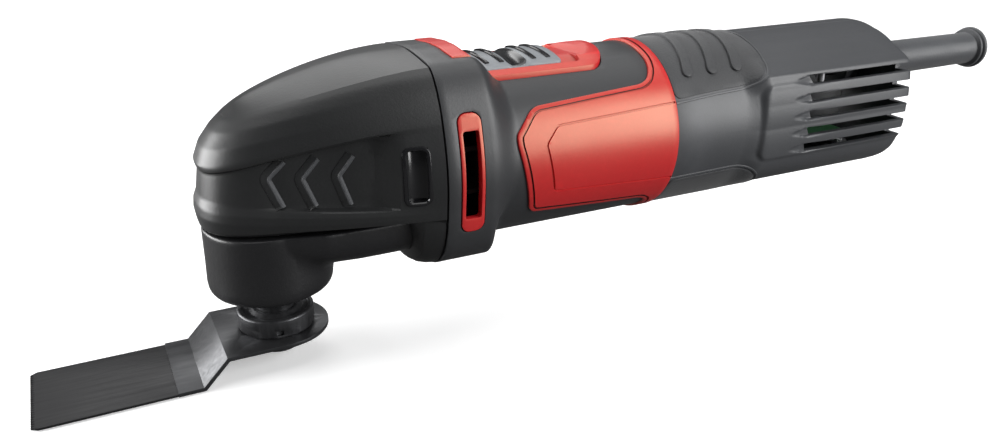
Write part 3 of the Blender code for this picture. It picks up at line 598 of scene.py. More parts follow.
def strip(name, surface, path, profile, look=None, closed=False, step=1.0):
    """A moulded line laid on a surface: a profile of (across, height) along a path."""
    path = dense(path, step, closed)
    rings = []
    for p, n in zip(path, side_normals(path, closed)):
        rings.append([surface(*moved(p, n, u), h) for u, h in profile])
    if closed:
        rings.append(rings[0])
    return loft(name, rings, look, caps=not closed)


def loop_edges(start, count, closed):
    edges = [(start + k, start + k + 1) for k in range(count - 1)]
    return edges + [(start + count - 1, start)] if closed else edges


def groove_depth(grooves, x, y):
    """How deep the nearest groove is at a point of the plan, from 0 to 1."""
    deepest = 0.0
    here = Vector((x, y))
    for path, half, closed in grooves:
        ends = path[1:] + ([path[0]] if closed else [])
        for a, b in zip(path, ends):
            a, b = Vector(a), Vector(b)
            span = b - a
            t = min(1.0, max(0.0, (here - a).dot(span) / max(span.length_squared, 1e-9)))
            reach = (here - a - span * t).length
            deepest = max(deepest, min(1.0, (half - reach) / (half * 0.45)))
    return deepest


def patch(name, surface, outline, height, look, edge, depth, step, grooves=(), cut=0.5):
    """A raised pad on a surface: its outline, a rounded rim and a top that follows the surface.

    The rim is rounded over edge and goes down to depth below the surface. Each groove is
    (path, half width, closed), and is let in to a depth of cut.
    """
    outline = dense(outline, step, True)
    area = sum(a[0] * b[1] - b[0] * a[1] for a, b in zip(outline, outline[1:] + outline[:1]))
    inward = 1 if area > 0 else -1
    normals = [n * inward for n in side_normals(outline, True)]
    rim = ((0, -depth), (0, height - edge), (edge * 0.3, height - edge * 0.3), (edge, height))
    rings = []
    for inward_by, h in rim:
        rings.append([surface(*moved(p, n, inward_by), h) for p, n in zip(outline, normals)])
    pad = loft(name, rings, look, caps=False)
    points = [Vector(moved(p, n, edge)) for p, n in zip(outline, normals)]
    edges = loop_edges(0, len(points), True)
    fine = []
    for path, half, closed in grooves:
        path = dense(path, step, closed)
        fine.append((path, half, closed))
        sides = side_normals(path, closed)
        for across in (-half, -half * 0.55, half * 0.55, half):
            edges += loop_edges(len(points), len(path), closed)
            points += [Vector(moved(p, n, across)) for p, n in zip(path, sides)]
    xs, ys = [p.x for p in points], [p.y for p in points]
    for i in range(1, int((max(xs) - min(xs)) / step)):
        for j in range(1, int((max(ys) - min(ys)) / step)):
            points.append(Vector((min(xs) + i * step, min(ys) + j * step)))
    spots, _, faces, _, _, _ = delaunay_2d_cdt(points, edges, [list(range(len(outline)))], 2, 1e-5)
    flat = [(p.x, p.y, height - cut * max(0.0, groove_depth(fine, p.x, p.y))) for p in spots]
    used = sorted({i for face in faces for i in face})
    number = {i: k for k, i in enumerate(used)}
    faces = [[number[i] for i in face] for face in faces]
    mesh = bpy.data.meshes.new(name + "_top")
    mesh.from_pydata([world(surface(*flat[i])) for i in used], [], faces)
    edited([pad.data, mesh], weld(2e-6))
    bpy.data.meshes.remove(mesh)
    shade_smooth(pad, 30)
    return pad


def relax(ob, weight, rounds):
    """Smooths a mesh where weight, a function of a tool-frame point, is above 0."""
    mesh = ob.data
    co = np.empty(len(mesh.vertices) * 3)
    mesh.vertices.foreach_get("co", co)
    co = co.reshape(-1, 3)
    edges = np.empty(len(mesh.edges) * 2, int)
    mesh.edges.foreach_get("vertices", edges)
    a, b = edges.reshape(-1, 2).T
    degree = np.bincount(np.concatenate([a, b]), minlength=len(co))[:, None]
    share = np.array([weight(along(x), y / MM, z / MM) for x, y, z in co])[:, None]
    for _ in range(rounds):
        total = np.zeros_like(co)
        np.add.at(total, a, co[b])
        np.add.at(total, b, co[a])
        co += share * 0.6 * (total / degree - co)
    mesh.vertices.foreach_set("co", co.ravel())
    mesh.update()


def show(ob, body, slot, *nodes):
    """Puts a finished piece on its body, in place of the CAD nodes it stands for."""
    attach(ob, body)
    if nodes:
        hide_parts(*nodes)
    return ob


# ------------------------------------------------------------------ gear head
# Rows of the hood from its lower edge to the crease round its top: height and X at the
# nose, height at the seam, half width at the spindle, and the power of the plan curve.
HOOD_ROWS = (
    (45.9, -18.2, 45.9, 20.9, 3.0), (46.8, -19.0, 46.8, 21.9, 3.0), (50.7, -19.5, 47.8, 22.6, 3.0),
    (53.4, -19.2, 49.4, 22.9, 2.9), (55.9, -18.2, 51.4, 21.6, 2.9), (56.6, -18.1, 52.6, 21.5, 2.9),
    (62.5, -17.2, 72.8, 20.9, 2.8), (63.3, -17.0, 74.0, 20.8, 2.8), (64.0, -17.7, 75.0, 22.7, 2.8),
    (65.4, -17.9, 76.4, 22.9, 2.7), (70.0, -16.1, 80.4, 22.4, 2.6), (74.3, -12.9, 84.8, 21.5, 2.45),
    (77.3, -9.9, 88.7, 20.3, 2.25), (78.0, -9.0, 89.8, 19.7, 2.2),
)
CROWN = (
    (-9.0, 78.0), (-5.6, 80.9), (-1.3, 83.1), (5.9, 85.7), (15, 88.2), (24, 90.2), (34, 91.5),
    (47, 91.9),
)
PANEL_ROWS = (55.9, 63.3)     # nose heights between which the side is let in
PANEL_END, PANEL_DEPTH = 33.0, 2.9


def hood_row(values, half):
    z_nose, x_nose, z_rear, near, power = values
    wide = block_half_width(min(z_rear, 91.2))
    flare = 4.5 if z_nose < 46.5 else 1.0
    let_in = PANEL_ROWS[0] - 0.4 < z_nose < PANEL_ROWS[1] + 0.4
    row = []
    for i in range(-half, half + 1):
        u = radians(90 * i / half)
        x = SEAM_X - GAP - (SEAM_X - x_nose) * abs(cos(u)) ** (2 / power)
        share = max(0.0, x / SEAM_X)
        w = near + (wide - near) * share ** flare
        if let_in:
            rear_end = min(1.0, max(0.0, (PANEL_END - x) / 5.5))
            w -= PANEL_DEPTH * smooth_step((x + 8) / 26) * rear_end
        y = w * bulge(sin(u), 2 / power)
        t = (SEAM_X - x) / (SEAM_X - x_nose)
        row.append((min(x, SEAM_X), y, z_rear + (z_nose - z_rear) * t ** 1.6))
    return row


def fine_rows(rows, step):
    """The table's rows with more between them, by distance in height at the nose."""
    fine = []
    for a, b in zip(rows, rows[1:]):
        parts = max(1, round(abs(b[0] - a[0]) / step))
        fine.extend(tuple(p + (q - p) * k / parts for p, q in zip(a, b)) for k in range(parts))
    return fine + [rows[-1]]


def hood_skin():
    half, lid = 62, 16
    grid = [hood_row(values, half) for values in fine_rows(HOOD_ROWS, 0.5)]
    rim = grid[-1]
    for k in range(1, lid + 1):
        s = k / lid
        row = []
        for x, y, z in rim:
            crown = curve(CROWN, min(x, 46.9))
            row.append((x, y * (1 - s), z + (crown - z) * (1 - (1 - s) ** 1.45)))
        grid.append(row)
    points = np.array(grid)
    crease = len(grid) - lid - 1
    soft = points.copy()
    soft[1:-1] += 0.2 * ((points[:-2] + points[2:]) / 2 - points[1:-1])
    points[:crease] = soft[:crease]
    points[crease + 1:] = soft[crease + 1:]
    # The lower edge turns in under the rim.
    lip = points[0].copy()
    lip[:, 1] *= 0.93
    lip[:, 0] += 1.4 * np.clip((SEAM_X - lip[:, 0]) / 20, 0, 1)
    raised = lip.copy()
    raised[:, 2] += 3.0
    points = np.concatenate([raised[None], lip[None], points])
    return loft("gearbox_cover_skin", [list(map(tuple, row)) for row in points], HOOD, False, False)


def rear_lump():
    """The hood's deeper rear part, behind the gear case's bar."""
    rows = ((36.4, 40.5, 23.6), (36.7, 39.6, 24.0), (40.0, 28.2, 28.9), (40.5, 27.3, 29.3),
            (42.3, 26.1, 29.9), (44.4, 25.5, 30.5), (SEAM_X - GAP, 25.3, 31.0))
    rings = []
    for x, low, wide in rows:
        ring = []
        for i in range(97):
            a = radians(90 + 180 * i / 96)
            s, c = sin(a), cos(a)
            z = AXIS_Z + (AXIS_Z - low) * bulge(c, 2 / 2.9)
            y = wide * bulge(s, 2 / 2.9)
            y *= 1 - 0.03 * smooth_step((z - 43) / 7)
            ring.append((x, y, min(z, 50.0)))
        rings.append(ring)
    front = [(36.4, y * 0.4, z + 3) for _, y, z in rings[0]]
    return loft("gearbox_cover_lump", [front] + rings, HOOD, False, False)


hood_faces = hood_skin()
hood_tree = BVHTree.FromObject(hood_faces, bpy.context.evaluated_depsgraph_get())


def hood_side(side):
    """A surface function for one side of the hood, in X and Z."""
    def surface(x, z, height):
        start = Vector(world((x, side * 60.0, z)))
        spot, normal, _, _ = hood_tree.ray_cast(start, Vector((0, -side, 0)))
        if normal.y * side < 0:
            normal = -normal
        spot = spot + normal * height * MM
        return along(spot.x), spot.y / MM, spot.z / MM
    return surface


INSERT = (34.9, 41.5, 52.9, 69.0)


def cut_window(ob, x0, x1, z0, z1):
    """Removes the faces of both sides inside a window; a bezel covers the edge."""
    def change(bm):
        gone = []
        for face in bm.faces:
            c = face.calc_center_median()
            inside = x0 < along(c.x) < x1 and z0 < c.z / MM < z1
            if inside and abs(c.y) / MM > 20:
                gone.append(face)
        bmesh.ops.delete(bm, geom=gone, context="FACES")
    edited([ob.data], change)


# The upper end, point and lower end of each arrow's crest, in X and Z.
CHEVRONS = (
    ((3.6, 67.0), (-0.9, 62.6), (2.3, 54.4)), ((12.7, 67.1), (8.1, 62.0), (11.1, 53.9)),
    ((22.2, 67.4), (18.0, 62.1), (20.6, 53.6)),
)
# Sections of an arrow's ramp and of its crest, as (across, height).
RAMP = ((-2.7, -0.5), (-2.5, 0.2), (-2.2, 0.3), (-0.9, 0.75))
CREST = ((-0.95, 0.1), (-0.9, 0.75), (-0.55, 1.0), (-0.1, 0.9), (0.3, 0.35), (0.4, -0.5))


SIDES = ((-1, "left"), (1, "right"))
hood_pieces = [hood_faces, rear_lump()]
for side, hand in SIDES:
    for number, ends in enumerate(CHEVRONS):
        name = f"chevron_{number}_{hand}"
        path = round_corners(ends, 0.6, closed=False)
        hood_pieces.append(strip(name, hood_side(side), path, RAMP, HOOD, step=0.5))
        # Each crest is the hood plastic painted lighter, as a painted highlight along the arrow's edge.
        crest = strip(name + "_crest", hood_side(side), path, CREST, HOOD_PAINTED_HIGHLIGHT, step=0.5)
        show(crest, "housing", "hood_plastic")

BEZEL = (
    (-0.85, -0.9), (-0.8, 0.1), (-0.6, 0.4), (-0.3, 0.5), (0.2, 0.42), (0.45, 0.1), (0.5, -1.4),
)
x0, x1, z0, z1 = INSERT
for side, hand in SIDES:
    frame_path = rounded(x0, x1, z0, z1, 1.8)
    bezel = strip(f"side_insert_{hand}", hood_side(side), frame_path, BEZEL, GLOSS, True, 0.6)

    def dished(x, z, height, surface=hood_side(side)):
        u = (x - (x0 + x1) / 2) / ((x1 - x0) / 2)
        return surface(x, z, height - 1.2 * max(0.0, 1 - u * u))

    glass_plan = rounded(x0 + 0.2, x1 - 0.2, z0 + 0.2, z1 - 0.2, 1.6)
    glass = patch(f"insert_glass_{hand}", dished, glass_plan, -0.35, GLOSS, 0.2, 0.9, 0.9)
    insert = merged(f"side_insert_{hand}_detail", [bezel, glass])
    show(insert, "housing", "black_gloss", f"side_insert_{hand}")

cut_window(hood_faces, *(v + d for v, d in zip(INSERT, (0.1, -0.1, 0.1, -0.1))))
hood = merged("gearbox_cover_detail", hood_pieces)
shade_smooth(hood, 20)
show(hood, "housing", "hood_plastic", "gearbox_cover")

# Gear case: the boss round the spindle and the bar that carries it, as one casting.
BOSS = (
    (0.5, 44.8), (18.4, 44.8), (18.8, 44.3), (18.9, 34), (19.1, 27), (18.9, 25.0), (18.2, 23.6),
    (17.0, 23.0), (9.6, 23.0), (9.2, 23.4), (9.2, 25.4), (0.5, 25.4),
)
# X, half width and lowest Z of the bar's sections.
BAR_ROWS = (
    (0.0, 18.3, 33.5), (6.0, 20.2, 32.2), (13.0, 21.8, 31.2), (24.0, 22.2, 30.8), (42.0, 22.2, 30.8),
)


def bar_section(x, wide, low, top=44.8, power=3.0, count=40):
    section = []
    for i in range(count + 1):
        a = pi * i / count
        y = wide * bulge(cos(a), 2 / power)
        section.append((x, y, top - (top - low) * abs(sin(a)) ** (2 / power)))
    return section


def fillet_weight(x, y, z):
    """High where the boss runs into the bar's underside."""
    if x < 4 or z > 42:
        return 0.0
    from_boss = hypot(x, y) - 19.0
    from_bar = z - 30.9
    return exp(-(from_boss ** 2 + from_bar ** 2) / 40)


case = turned("gear_housing_detail", BOSS, "Z", (0, 0, 0), CASTING, 96)
case = boolean(case, [loft("case_bar", [bar_section(*row) for row in BAR_ROWS])], "UNION")
remesh = case.modifiers.new("remesh", "REMESH")
remesh.mode = "VOXEL"
remesh.voxel_size = 0.5 * MM
settle(case, 180)
relax(case, lambda x, y, z: 1.0, 2)
relax(case, fillet_weight, 90)
show(case, "housing", "gear_case", "gear_housing")

# ------------------------------------------------------------------ motor housing
stations = [SEAM_X + GAP + k * (61.0 - SEAM_X) / 6 for k in range(6)]
stations += [61.0 + k * 0.9 for k in range(17)]
stations += [80.0, 90.0, 100.0, 110.0, 120.0, BAND_X]


def body_tube(name, xs, outer, inner, look):
    skin = [body_ring(x, outer) for x in xs]
    back = [body_ring(x, inner) for x in reversed(xs)]
    return loft(name, skin + back + [skin[0]], look, caps=False)


SWITCH_HALF_WIDTH, SWITCH_FRONT, SWITCH_REAR = 15.2, 55.8, 111.4
BUTTON_FRONT, BUTTON_REAR, BUTTON_HALF_WIDTH, BUTTON_TRAVEL = 65.0, 94.8, 12.4, 6.0
SLOT_X0, SLOT_X1, SLOT_Z0, SLOT_Z1 = 51.0, 58.5, 41.5, 77.6


def switch_outline(grow):
    """Plan of the switch surround: square front, round rear end."""
    half, front, rear = SWITCH_HALF_WIDTH + grow, SWITCH_FRONT - grow, SWITCH_REAR + grow
    outline = [(front, -half), (front, half)]
    for i in range(25):
        a = pi / 2 - pi * i / 24
        outline.append((rear - 8 + 8 * cos(a), half * bulge(sin(a), 0.7)))
    return outline


housing = body_tube("motor_housing_detail", stations, 0.0, -WALL, BODY)
cutters = [prism("switch_opening", switch_outline(0.3), "Z", AXIS_Z + 12, 100)]
slot_plan = rounded(SLOT_X0 - 0.2, SLOT_X1 + 0.2, SLOT_Z0 - 0.2, SLOT_Z1 + 0.2, 3.0)
for side, _ in SIDES:
    cutters.append(prism("slot", slot_plan, "Y", *sorted((side * 12, side * 45))))
boolean(housing, cutters)
rounded_edges(housing, 0.45)
show(housing, "housing", "body_plastic", "motor_housing")

# Switch surround, its well and the finger ramp behind the button.
rings = []
for x in [50 + 0.75 * k for k in range(35)] + [80, 90, 100, 112]:
    mix = smooth_step((x - 61.0) / 5.0)
    outside, inside = [], []
    for k in range(61):
        a = -45 + 1.5 * k
        radius = body_radius(x, a)
        outside.append((x, *polar((radius + 0.35) * (1 - mix) + (BARREL_R + 1.2) * mix, a)))
        inside.append((x, *polar((radius - 2.2) * (1 - mix) + (BARREL_R - 2.0) * mix, a)))
    rings.append(outside + inside[::-1])
surround = loft("switch_surround_detail", rings, RED)
boolean(surround, [prism("surround_plan", switch_outline(0), "Z", AXIS_Z + 12, 100)], "INTERSECT")
well_plan = rounded(BUTTON_FRONT - 0.6, BUTTON_REAR + BUTTON_TRAVEL + 0.6, -BUTTON_HALF_WIDTH - 0.45,
                    BUTTON_HALF_WIDTH + 0.45, 1.8, 5)
well = prism("well", well_plan, "Z", AXIS_Z + 12, 100)
floor_r = BARREL_R - 0.5
boolean(well, [turned("well_floor", [(floor_r, 50), (floor_r, 120)], "X", (0, 0, AXIS_Z), None, 128)])
ramp_side = [(x, AXIS_Z + BARREL_R + h)
             for x, h in ((95.0, -0.9), (102.5, -0.9), (109.0, 1.2), (109.6, 3), (95.0, 3))]
boolean(surround, [well, prism("ramp", ramp_side, "Y", -9.6, 9.6)])
rounded_edges(surround, 0.4)
show(surround, "housing", "red_plastic", "switch_surround")

# Button: grey pad, four dark ribs and a dark finger dish across the middle.
RIB_X = (69.2, 74.3, 85.6, 90.7)
DISH_X = 79.9
BUTTON_TOP, BUTTON_CURVE = BARREL_R + 1.0, 36.0


def button_surface(x, across, height):
    """A point on the button's top, which is a little flatter than the barrel."""
    dip = exp(-((x - DISH_X) / 2.9) ** 4)
    sag = BUTTON_CURVE - sqrt(BUTTON_CURVE ** 2 - across ** 2)
    return x, across, AXIS_Z + BUTTON_TOP - sag - 1.1 * dip + height


pad_outline = rounded(BUTTON_FRONT, BUTTON_REAR, -BUTTON_HALF_WIDTH, BUTTON_HALF_WIDTH, 1.3, 4)
pad = patch("switch_button_detail", button_surface, pad_outline, 0.0, BUTTON, 0.35, 1.6, 0.9)
show(pad, "switch_slider", "button_plastic", "switch_button")
ribs = []
RIB = ((-0.85, -0.3), (-0.75, 0.3), (-0.4, 0.6), (0.4, 0.6), (0.75, 0.3), (0.85, -0.3))
for x in RIB_X:
    path = [(x + 0.5, -9.6), (x, -4.5), (x - 0.2, 0.0), (x, 4.5), (x + 0.5, 9.6)]
    ribs.append(strip(f"rib_{x}", button_surface, path, RIB, GLOSS, step=1.0))
dish_outline = rounded(DISH_X - 3.4, DISH_X + 3.4, -10.8, 10.8, 1.5, 4)
ribs.append(patch("dish", button_surface, dish_outline, 0.16, GLOSS, 0.12, 0.3, 0.7))
show(merged("switch_button_grips", ribs), "switch_slider", "black_gloss")

# Red band round the barrel, with its side panels.
BAND_HALF = (
    (125.1, 0), (125.1, 29), (123.9, 38), (121.7, 44.8), (118.6, 47.9), (79.4, 53.4),
    (77.0, 55.8), (71.0, 69.5), (71.0, 76), (76.4, 120), (78.2, 124), (121.0, 132),
    (124.0, 137), (125.1, 143), (125.1, 179.7),
)
PANEL = ((129.4, 63.0), (104.0, 65.4), (85.0, 67.0), (80.6, 77.0), (84.0, 108.0), (129.4, 114.0))
BAND_HEIGHT, GROOVE_HALF_WIDTH, GROOVE_DEPTH = 0.75, 0.34, 0.5


def arcs(points):
    return [(x, arc_of(a)) for x, a in points]


front_edge = arcs(BAND_HALF)
front_edge = [(x, -s) for x, s in reversed(front_edge[1:])] + front_edge
front_edge = round_corners(front_edge, 2.0, closed=False)
inner_line = inset(front_edge, -1.7)
if inner_line[len(inner_line) // 2][0] < front_edge[len(front_edge) // 2][0]:
    inner_line = inset(front_edge, 1.7)
band_grooves = [(inner_line, GROOVE_HALF_WIDTH, False)]
for side, _ in SIDES:
    panel = [(x, side * s) for x, s in round_corners(arcs(PANEL), 1.2, closed=False)]
    band_grooves.append((panel, GROOVE_HALF_WIDTH, False))
band_plan = front_edge + [(BAND_X, arc_of(179.7)), (BAND_X, arc_of(-179.7))]
band = patch("band_field", body_point, band_plan, BAND_HEIGHT, RED, 0.35, 0.4, 2.0, band_grooves,
             GROOVE_DEPTH)
show(merged("accent_band_detail", [band]), "housing", "red_plastic", "accent_band")

# Red frames in the air inlets.
for side, hand in SIDES:
    low, high = sorted((side * 12, side * 45))
    inlet_x = [48.5, 50.0, 52.5, 55.0, 57.5, 60.0]
    inlet = body_tube(f"vent_frame_{hand}_detail", inlet_x, 0.35, -2.3, RED)
    plan = rounded(SLOT_X0 + 0.15, SLOT_X1 - 0.15, SLOT_Z0 + 0.15, SLOT_Z1 - 0.15, 2.7)
    boolean(inlet, [prism("inlet_plan", plan, "Y", low, high)], "INTERSECT")
    hole = rounded(SLOT_X0 + 1.2, SLOT_X1 - 1.1, SLOT_Z0 + 4.4, SLOT_Z1 - 5.0, 0.8, 4)
    boolean(inlet, [prism("inlet_hole", hole, "Y", low, high)])
    rounded_edges(inlet, 0.45)
    show(inlet, "housing", "red_plastic", f"vent_frame_{hand}")

# ------------------------------------------------------------------ handle
VENT_FIRST_Z, VENT_PITCH, VENT_HEIGHT, VENT_COUNT = 47.3, 6.1, 3.1, 5
VENT_X, VENT_INNER_Y = 187.0, 23.6
LEAD_IN_X, LEAD_IN_DEPTH = 177.6, 1.15
SCREWS = ((176.0, 72.0, 24.0), (176.0, 43.0, 21.0), (226.0, 40.0, 16.8))     # X, Z and seat
HANDLE_ANGLES = [2.5 * k for k in range(21)] + [50 + 0.8 * k for k in range(1, 88)]
HANDLE_ANGLES += [120 + 3.0 * k for k in range(21)]
handle_stations = [BAND_X + 0.3, 140.0, 150.0] + [157.0 + 0.5 * k for k in range(29)]
handle_stations += [LEAD_IN_X - 0.6] + [LEAD_IN_X + 0.6 * k for k in range(17)]
REAR_ROUND = {REAR_X - 1.6: -0.12, REAR_X - 0.8: -0.45, REAR_X - 0.3: -0.85, REAR_X: -1.5}
handle_stations += [195.0, 210.0, 225.0, REAR_X - 2.6, *REAR_ROUND]


def lead_in_depth(x, z):
    """Depth of the tapered channels that run along the plate into the slots."""
    share = (x - LEAD_IN_X) / (VENT_X - 1.5 - LEAD_IN_X)
    if share <= 0 or x > VENT_X + 0.6:
        return 0.0
    share = min(share, 1.0)
    number = min(max(round((z - VENT_FIRST_Z - VENT_HEIGHT / 2) / VENT_PITCH), 0), VENT_COUNT - 1)
    across = abs(z - VENT_FIRST_Z - VENT_HEIGHT / 2 - VENT_PITCH * number)
    half = 0.5 + (VENT_HEIGHT / 2 - 0.2) * share
    return LEAD_IN_DEPTH * share * smooth_step((half - across) / 0.6)


def left_section(x, offset):
    section = []
    for a in HANDLE_ANGLES:
        y, z = polar(body_radius(x, a) + offset, a)
        if offset == 0.0:
            y -= lead_in_depth(x, z)
        section.append((x, -max(y, 0.06), z))
    return section


def left_shell():
    """A half solid with its cavity, vents and sleeve hole cut out."""
    outside = [left_section(x, REAR_ROUND.get(x, 0.0)) for x in handle_stations]
    shell = loft("handle_shell_left_detail", outside, REAR)
    inner_x = [x for x in handle_stations if x < REAR_X - WALL - 0.1]
    cavity = []
    for x in [BAND_X - 1.0] + inner_x + [REAR_X - WALL]:
        inner = left_section(x, -WALL)
        cavity.append([(x, 2.0, inner[0][2])] + inner + [(x, 2.0, inner[-1][2])])
    cutters = [loft("cavity", cavity)]
    for number in range(VENT_COUNT):
        low = VENT_FIRST_Z + VENT_PITCH * number
        high = low + VENT_HEIGHT
        slot = [(VENT_X - 1.3, high), (VENT_X, low), (REAR_X + 3, low), (REAR_X + 3, high)]
        cutters.append(prism(f"vent_{number}", slot, "Y", -40, -VENT_INNER_Y))
    cutters.append(turned("sleeve_hole", [(7.2, 225), (7.2, 240)], "X", (0, 0, SLEEVE_Z), None, 48))
    for cutter in cutters:
        boolean(shell, [cutter])
    return shell


def mirrored_copy(ob, name):
    """The object's mirror image on the tool's other side."""
    mesh = ob.data.copy()
    mesh.transform(Matrix.Scale(-1, 4, (0, 1, 0)))
    mesh.flip_normals()
    other = in_scene(name, mesh)
    shade_smooth(other)
    return other


shells = {"left": left_shell()}
shells["right"] = mirrored_copy(shells["left"], "handle_shell_right_detail")
dial_slot = [(203.5, 12), (218.5, 12), (218.5, 40), (203.5, 40)]
right_cutters = [prism("dial_slot", dial_slot, "Z", 35.5, 40.4)]
for x, z, seat in SCREWS:
    right_cutters.append(turned("screw_sink", [(3.3, seat), (3.3, 40)], "Y", (x, 0, z), None, 32))
for cutter in right_cutters:
    boolean(shells["right"], [cutter])
for hand, shell in shells.items():
    rounded_edges(shell, 0.5, 2, 44)
    show(shell, "housing", "rear_plastic", f"handle_shell_{hand}")

GRIP_EDGE = (
    (BAND_X + 0.3, 61.6), (148.0, 59.0), (158.5, 58.2), (164.8, 56.4), (168.0, 50.5),
    (169.4, 42.0), (170.4, 27.5), (170.8, 12.0),
)
BOTTOM_EDGE = (
    (BAND_X + 0.3, 119.4), (157.0, 118.2), (164.0, 120.0), (168.0, 126.5), (169.4, 136.0),
    (170.4, 150.0), (170.8, 172.0),
)
RIBS = ((137.9, 143.0), (148.0, 153.6), (158.4, 162.9))     # X at the sides and on top
RIB_END, RIB_HALF_WIDTH = 44.0, 1.95


def mirrored_edge(edge, axis):
    """The edge and its mirror image about an angle, as a path of X and arc."""
    one = arcs(edge)
    middle = 2 * arc_of(axis)
    return one + [(x, middle - s) for x, s in reversed(one)]


def rib_outline(x_side, x_top):
    """Plan of a grip rib: a bar bent over the top of the handle, with round ends."""
    spine = []
    for k in range(-22, 23):
        a = RIB_END * k / 22
        spine.append((x_top - (x_top - x_side) * (abs(a) / RIB_END) ** 1.5, arc_of(a)))
    left, right = inset(spine, RIB_HALF_WIDTH), inset(spine, -RIB_HALF_WIDTH)
    ends = []
    for (x, arc), reach in ((spine[-1], RIB_HALF_WIDTH), (spine[0], -RIB_HALF_WIDTH)):
        bows = [spoke(reach, t) for t in range(20, 161, 20)]
        ends.append([(x + dx, arc + d_arc) for dx, d_arc in bows])
    return right + ends[0] + left[::-1] + ends[1]


def grip_pad(name, edge, axis):
    outline = round_corners(mirrored_edge(edge, axis), 3.0)
    return patch(name, body_point, outline, 0.35, GRIP, 0.3, 0.4, 1.4)


grip_pieces = [grip_pad("top_grip_detail", GRIP_EDGE, 0)]
for number, (x_side, x_top) in enumerate(RIBS):
    rib_plan = rib_outline(x_side, x_top)
    grip_pieces.append(patch(f"grip_rib_{number}", body_point, rib_plan, 1.15, GRIP, 0.5, 0.2, 0.9))
show(merged("top_grip_detail", grip_pieces), "housing", "grip_rubber", "top_grip")
show(grip_pad("bottom_grip_detail", BOTTOM_EDGE, 180), "housing", "grip_rubber", "bottom_grip")

# The moulded bead round each grip, on the shells.
BEAD = ((0.55, -0.3), (0.62, 0.15), (0.95, 0.38), (1.35, 0.3), (1.6, -0.3))
lines = []
for name, edge, axis in (("top", GRIP_EDGE, 0), ("bottom", BOTTOM_EDGE, 180)):
    path = round_corners(mirrored_edge(edge, axis), 3.0, closed=False)
    outside = 1 if inset(path, 1.0)[len(path) // 2][0] > path[len(path) // 2][0] else -1
    bead = [(u * outside, h) for u, h in BEAD]
    lines.append(strip(f"{name}_line", body_point, path, bead, REAR, step=1.0))
show(merged("grip_lines", lines), "housing", "rear_plastic")

# Cord sleeve with its double end flange.
sleeve_profile = [
    (4.0, 224.0), (9.0, 224.0), (9.0, 227.0), (7.0, 227.0), (6.9, 240.0), (6.5, 301.4),
    (7.9, 301.9), (8.1, 302.8), (7.3, 303.3), (8.5, 303.9), (8.6, 305.0), (7.9, SLEEVE_END),
    (5.6, SLEEVE_END), (4.6, 303.6), (4.2, 300.0), (4.0, 224.0),
]
sleeve_profile = filleted(sleeve_profile, 0.35) + [sleeve_profile[0]]
sleeve = turned("cord_sleeve_detail", sleeve_profile, "X", (0, 0, SLEEVE_Z), SLEEVE_LOOK, 80)
show(sleeve, "housing", "sleeve_rubber", "cord_sleeve")

# ------------------------------------------------------------------ accessory and clamp
AXIS = (0, 0, 0)
PIN_CIRCLE_R = 8.3
BLADE_T, HALF_WIDTH = 1.2, 16.0
STEP_X, BEND_X, PLATE_START, PLATE_Z = -33.1, -25.6, -18.0, 7.9


def blade_front():
    """The hardened front: thinner than the rest, with fine teeth and nipped corners."""
    teeth = 24
    side = HALF_WIDTH - 0.15
    pitch = 2 * (HALF_WIDTH - 1.3) / teeth
    outline = [(STEP_X - 0.5, side), (BLADE_FRONT + 1.9, side)]
    for k in range(teeth):
        y = HALF_WIDTH - 1.3 - pitch * k
        outline.append((BLADE_FRONT, y - pitch * 0.1))
        outline.append((BLADE_FRONT + 1.2, y - pitch * 0.6))
    outline += [(BLADE_FRONT, -HALF_WIDTH + 1.3), (BLADE_FRONT + 1.9, -side), (STEP_X - 0.5, -side)]
    outline += [(STEP_X + 3.0, -side), (STEP_X + 3.0, side)]
    return prism("blade_front", outline, "Z", 0.1, BLADE_T - 0.35, HARDENED)


def blade_rear():
    """The rear of the blade: a strip bent up to the plate, whose round end has the holes."""
    side = [
        (STEP_X, 0.0), (BEND_X + 0.3, 0.0), (PLATE_START + 0.3, PLATE_Z), (2.0, PLATE_Z),
        (2.0, PLATE_Z + BLADE_T), (PLATE_START - 0.3, PLATE_Z + BLADE_T), (BEND_X - 0.3, BLADE_T),
        (STEP_X, BLADE_T),
    ]
    sheet = prism("blade_rear", side, "Y", -HALF_WIDTH, HALF_WIDTH, BLADE_LOOK)
    end = [(-2.0, -HALF_WIDTH), (-2.0, HALF_WIDTH)]
    end += [spoke(HALF_WIDTH, a)[::-1] for a in range(0, 181, 4)]
    boolean(sheet, [prism("round_end", end, "Z", PLATE_Z, PLATE_Z + BLADE_T)], "UNION")
    holes = [turned("centre_hole", [(5.2, 5), (5.2, 12)], "Z", AXIS, None, 40)]
    for k in range(8):
        centre = (*spoke(PIN_CIRCLE_R, 45 * k), 0)
        holes.append(turned("pin_hole", [(1.65, 5), (1.65, 12)], "Z", centre, None, 16))
    return boolean(sheet, holes)


for name, sheet, width, nodes in (
    ("blade_detail", blade_rear(), 0.12, ("blade",)), ("blade_edge", blade_front(), 0.06, ()),
):
    sheet.name = name
    rounded_edges(sheet, width)
    shade_smooth(sheet, 25)
    show(sheet, "spindle_group", "blade_steel", *nodes)

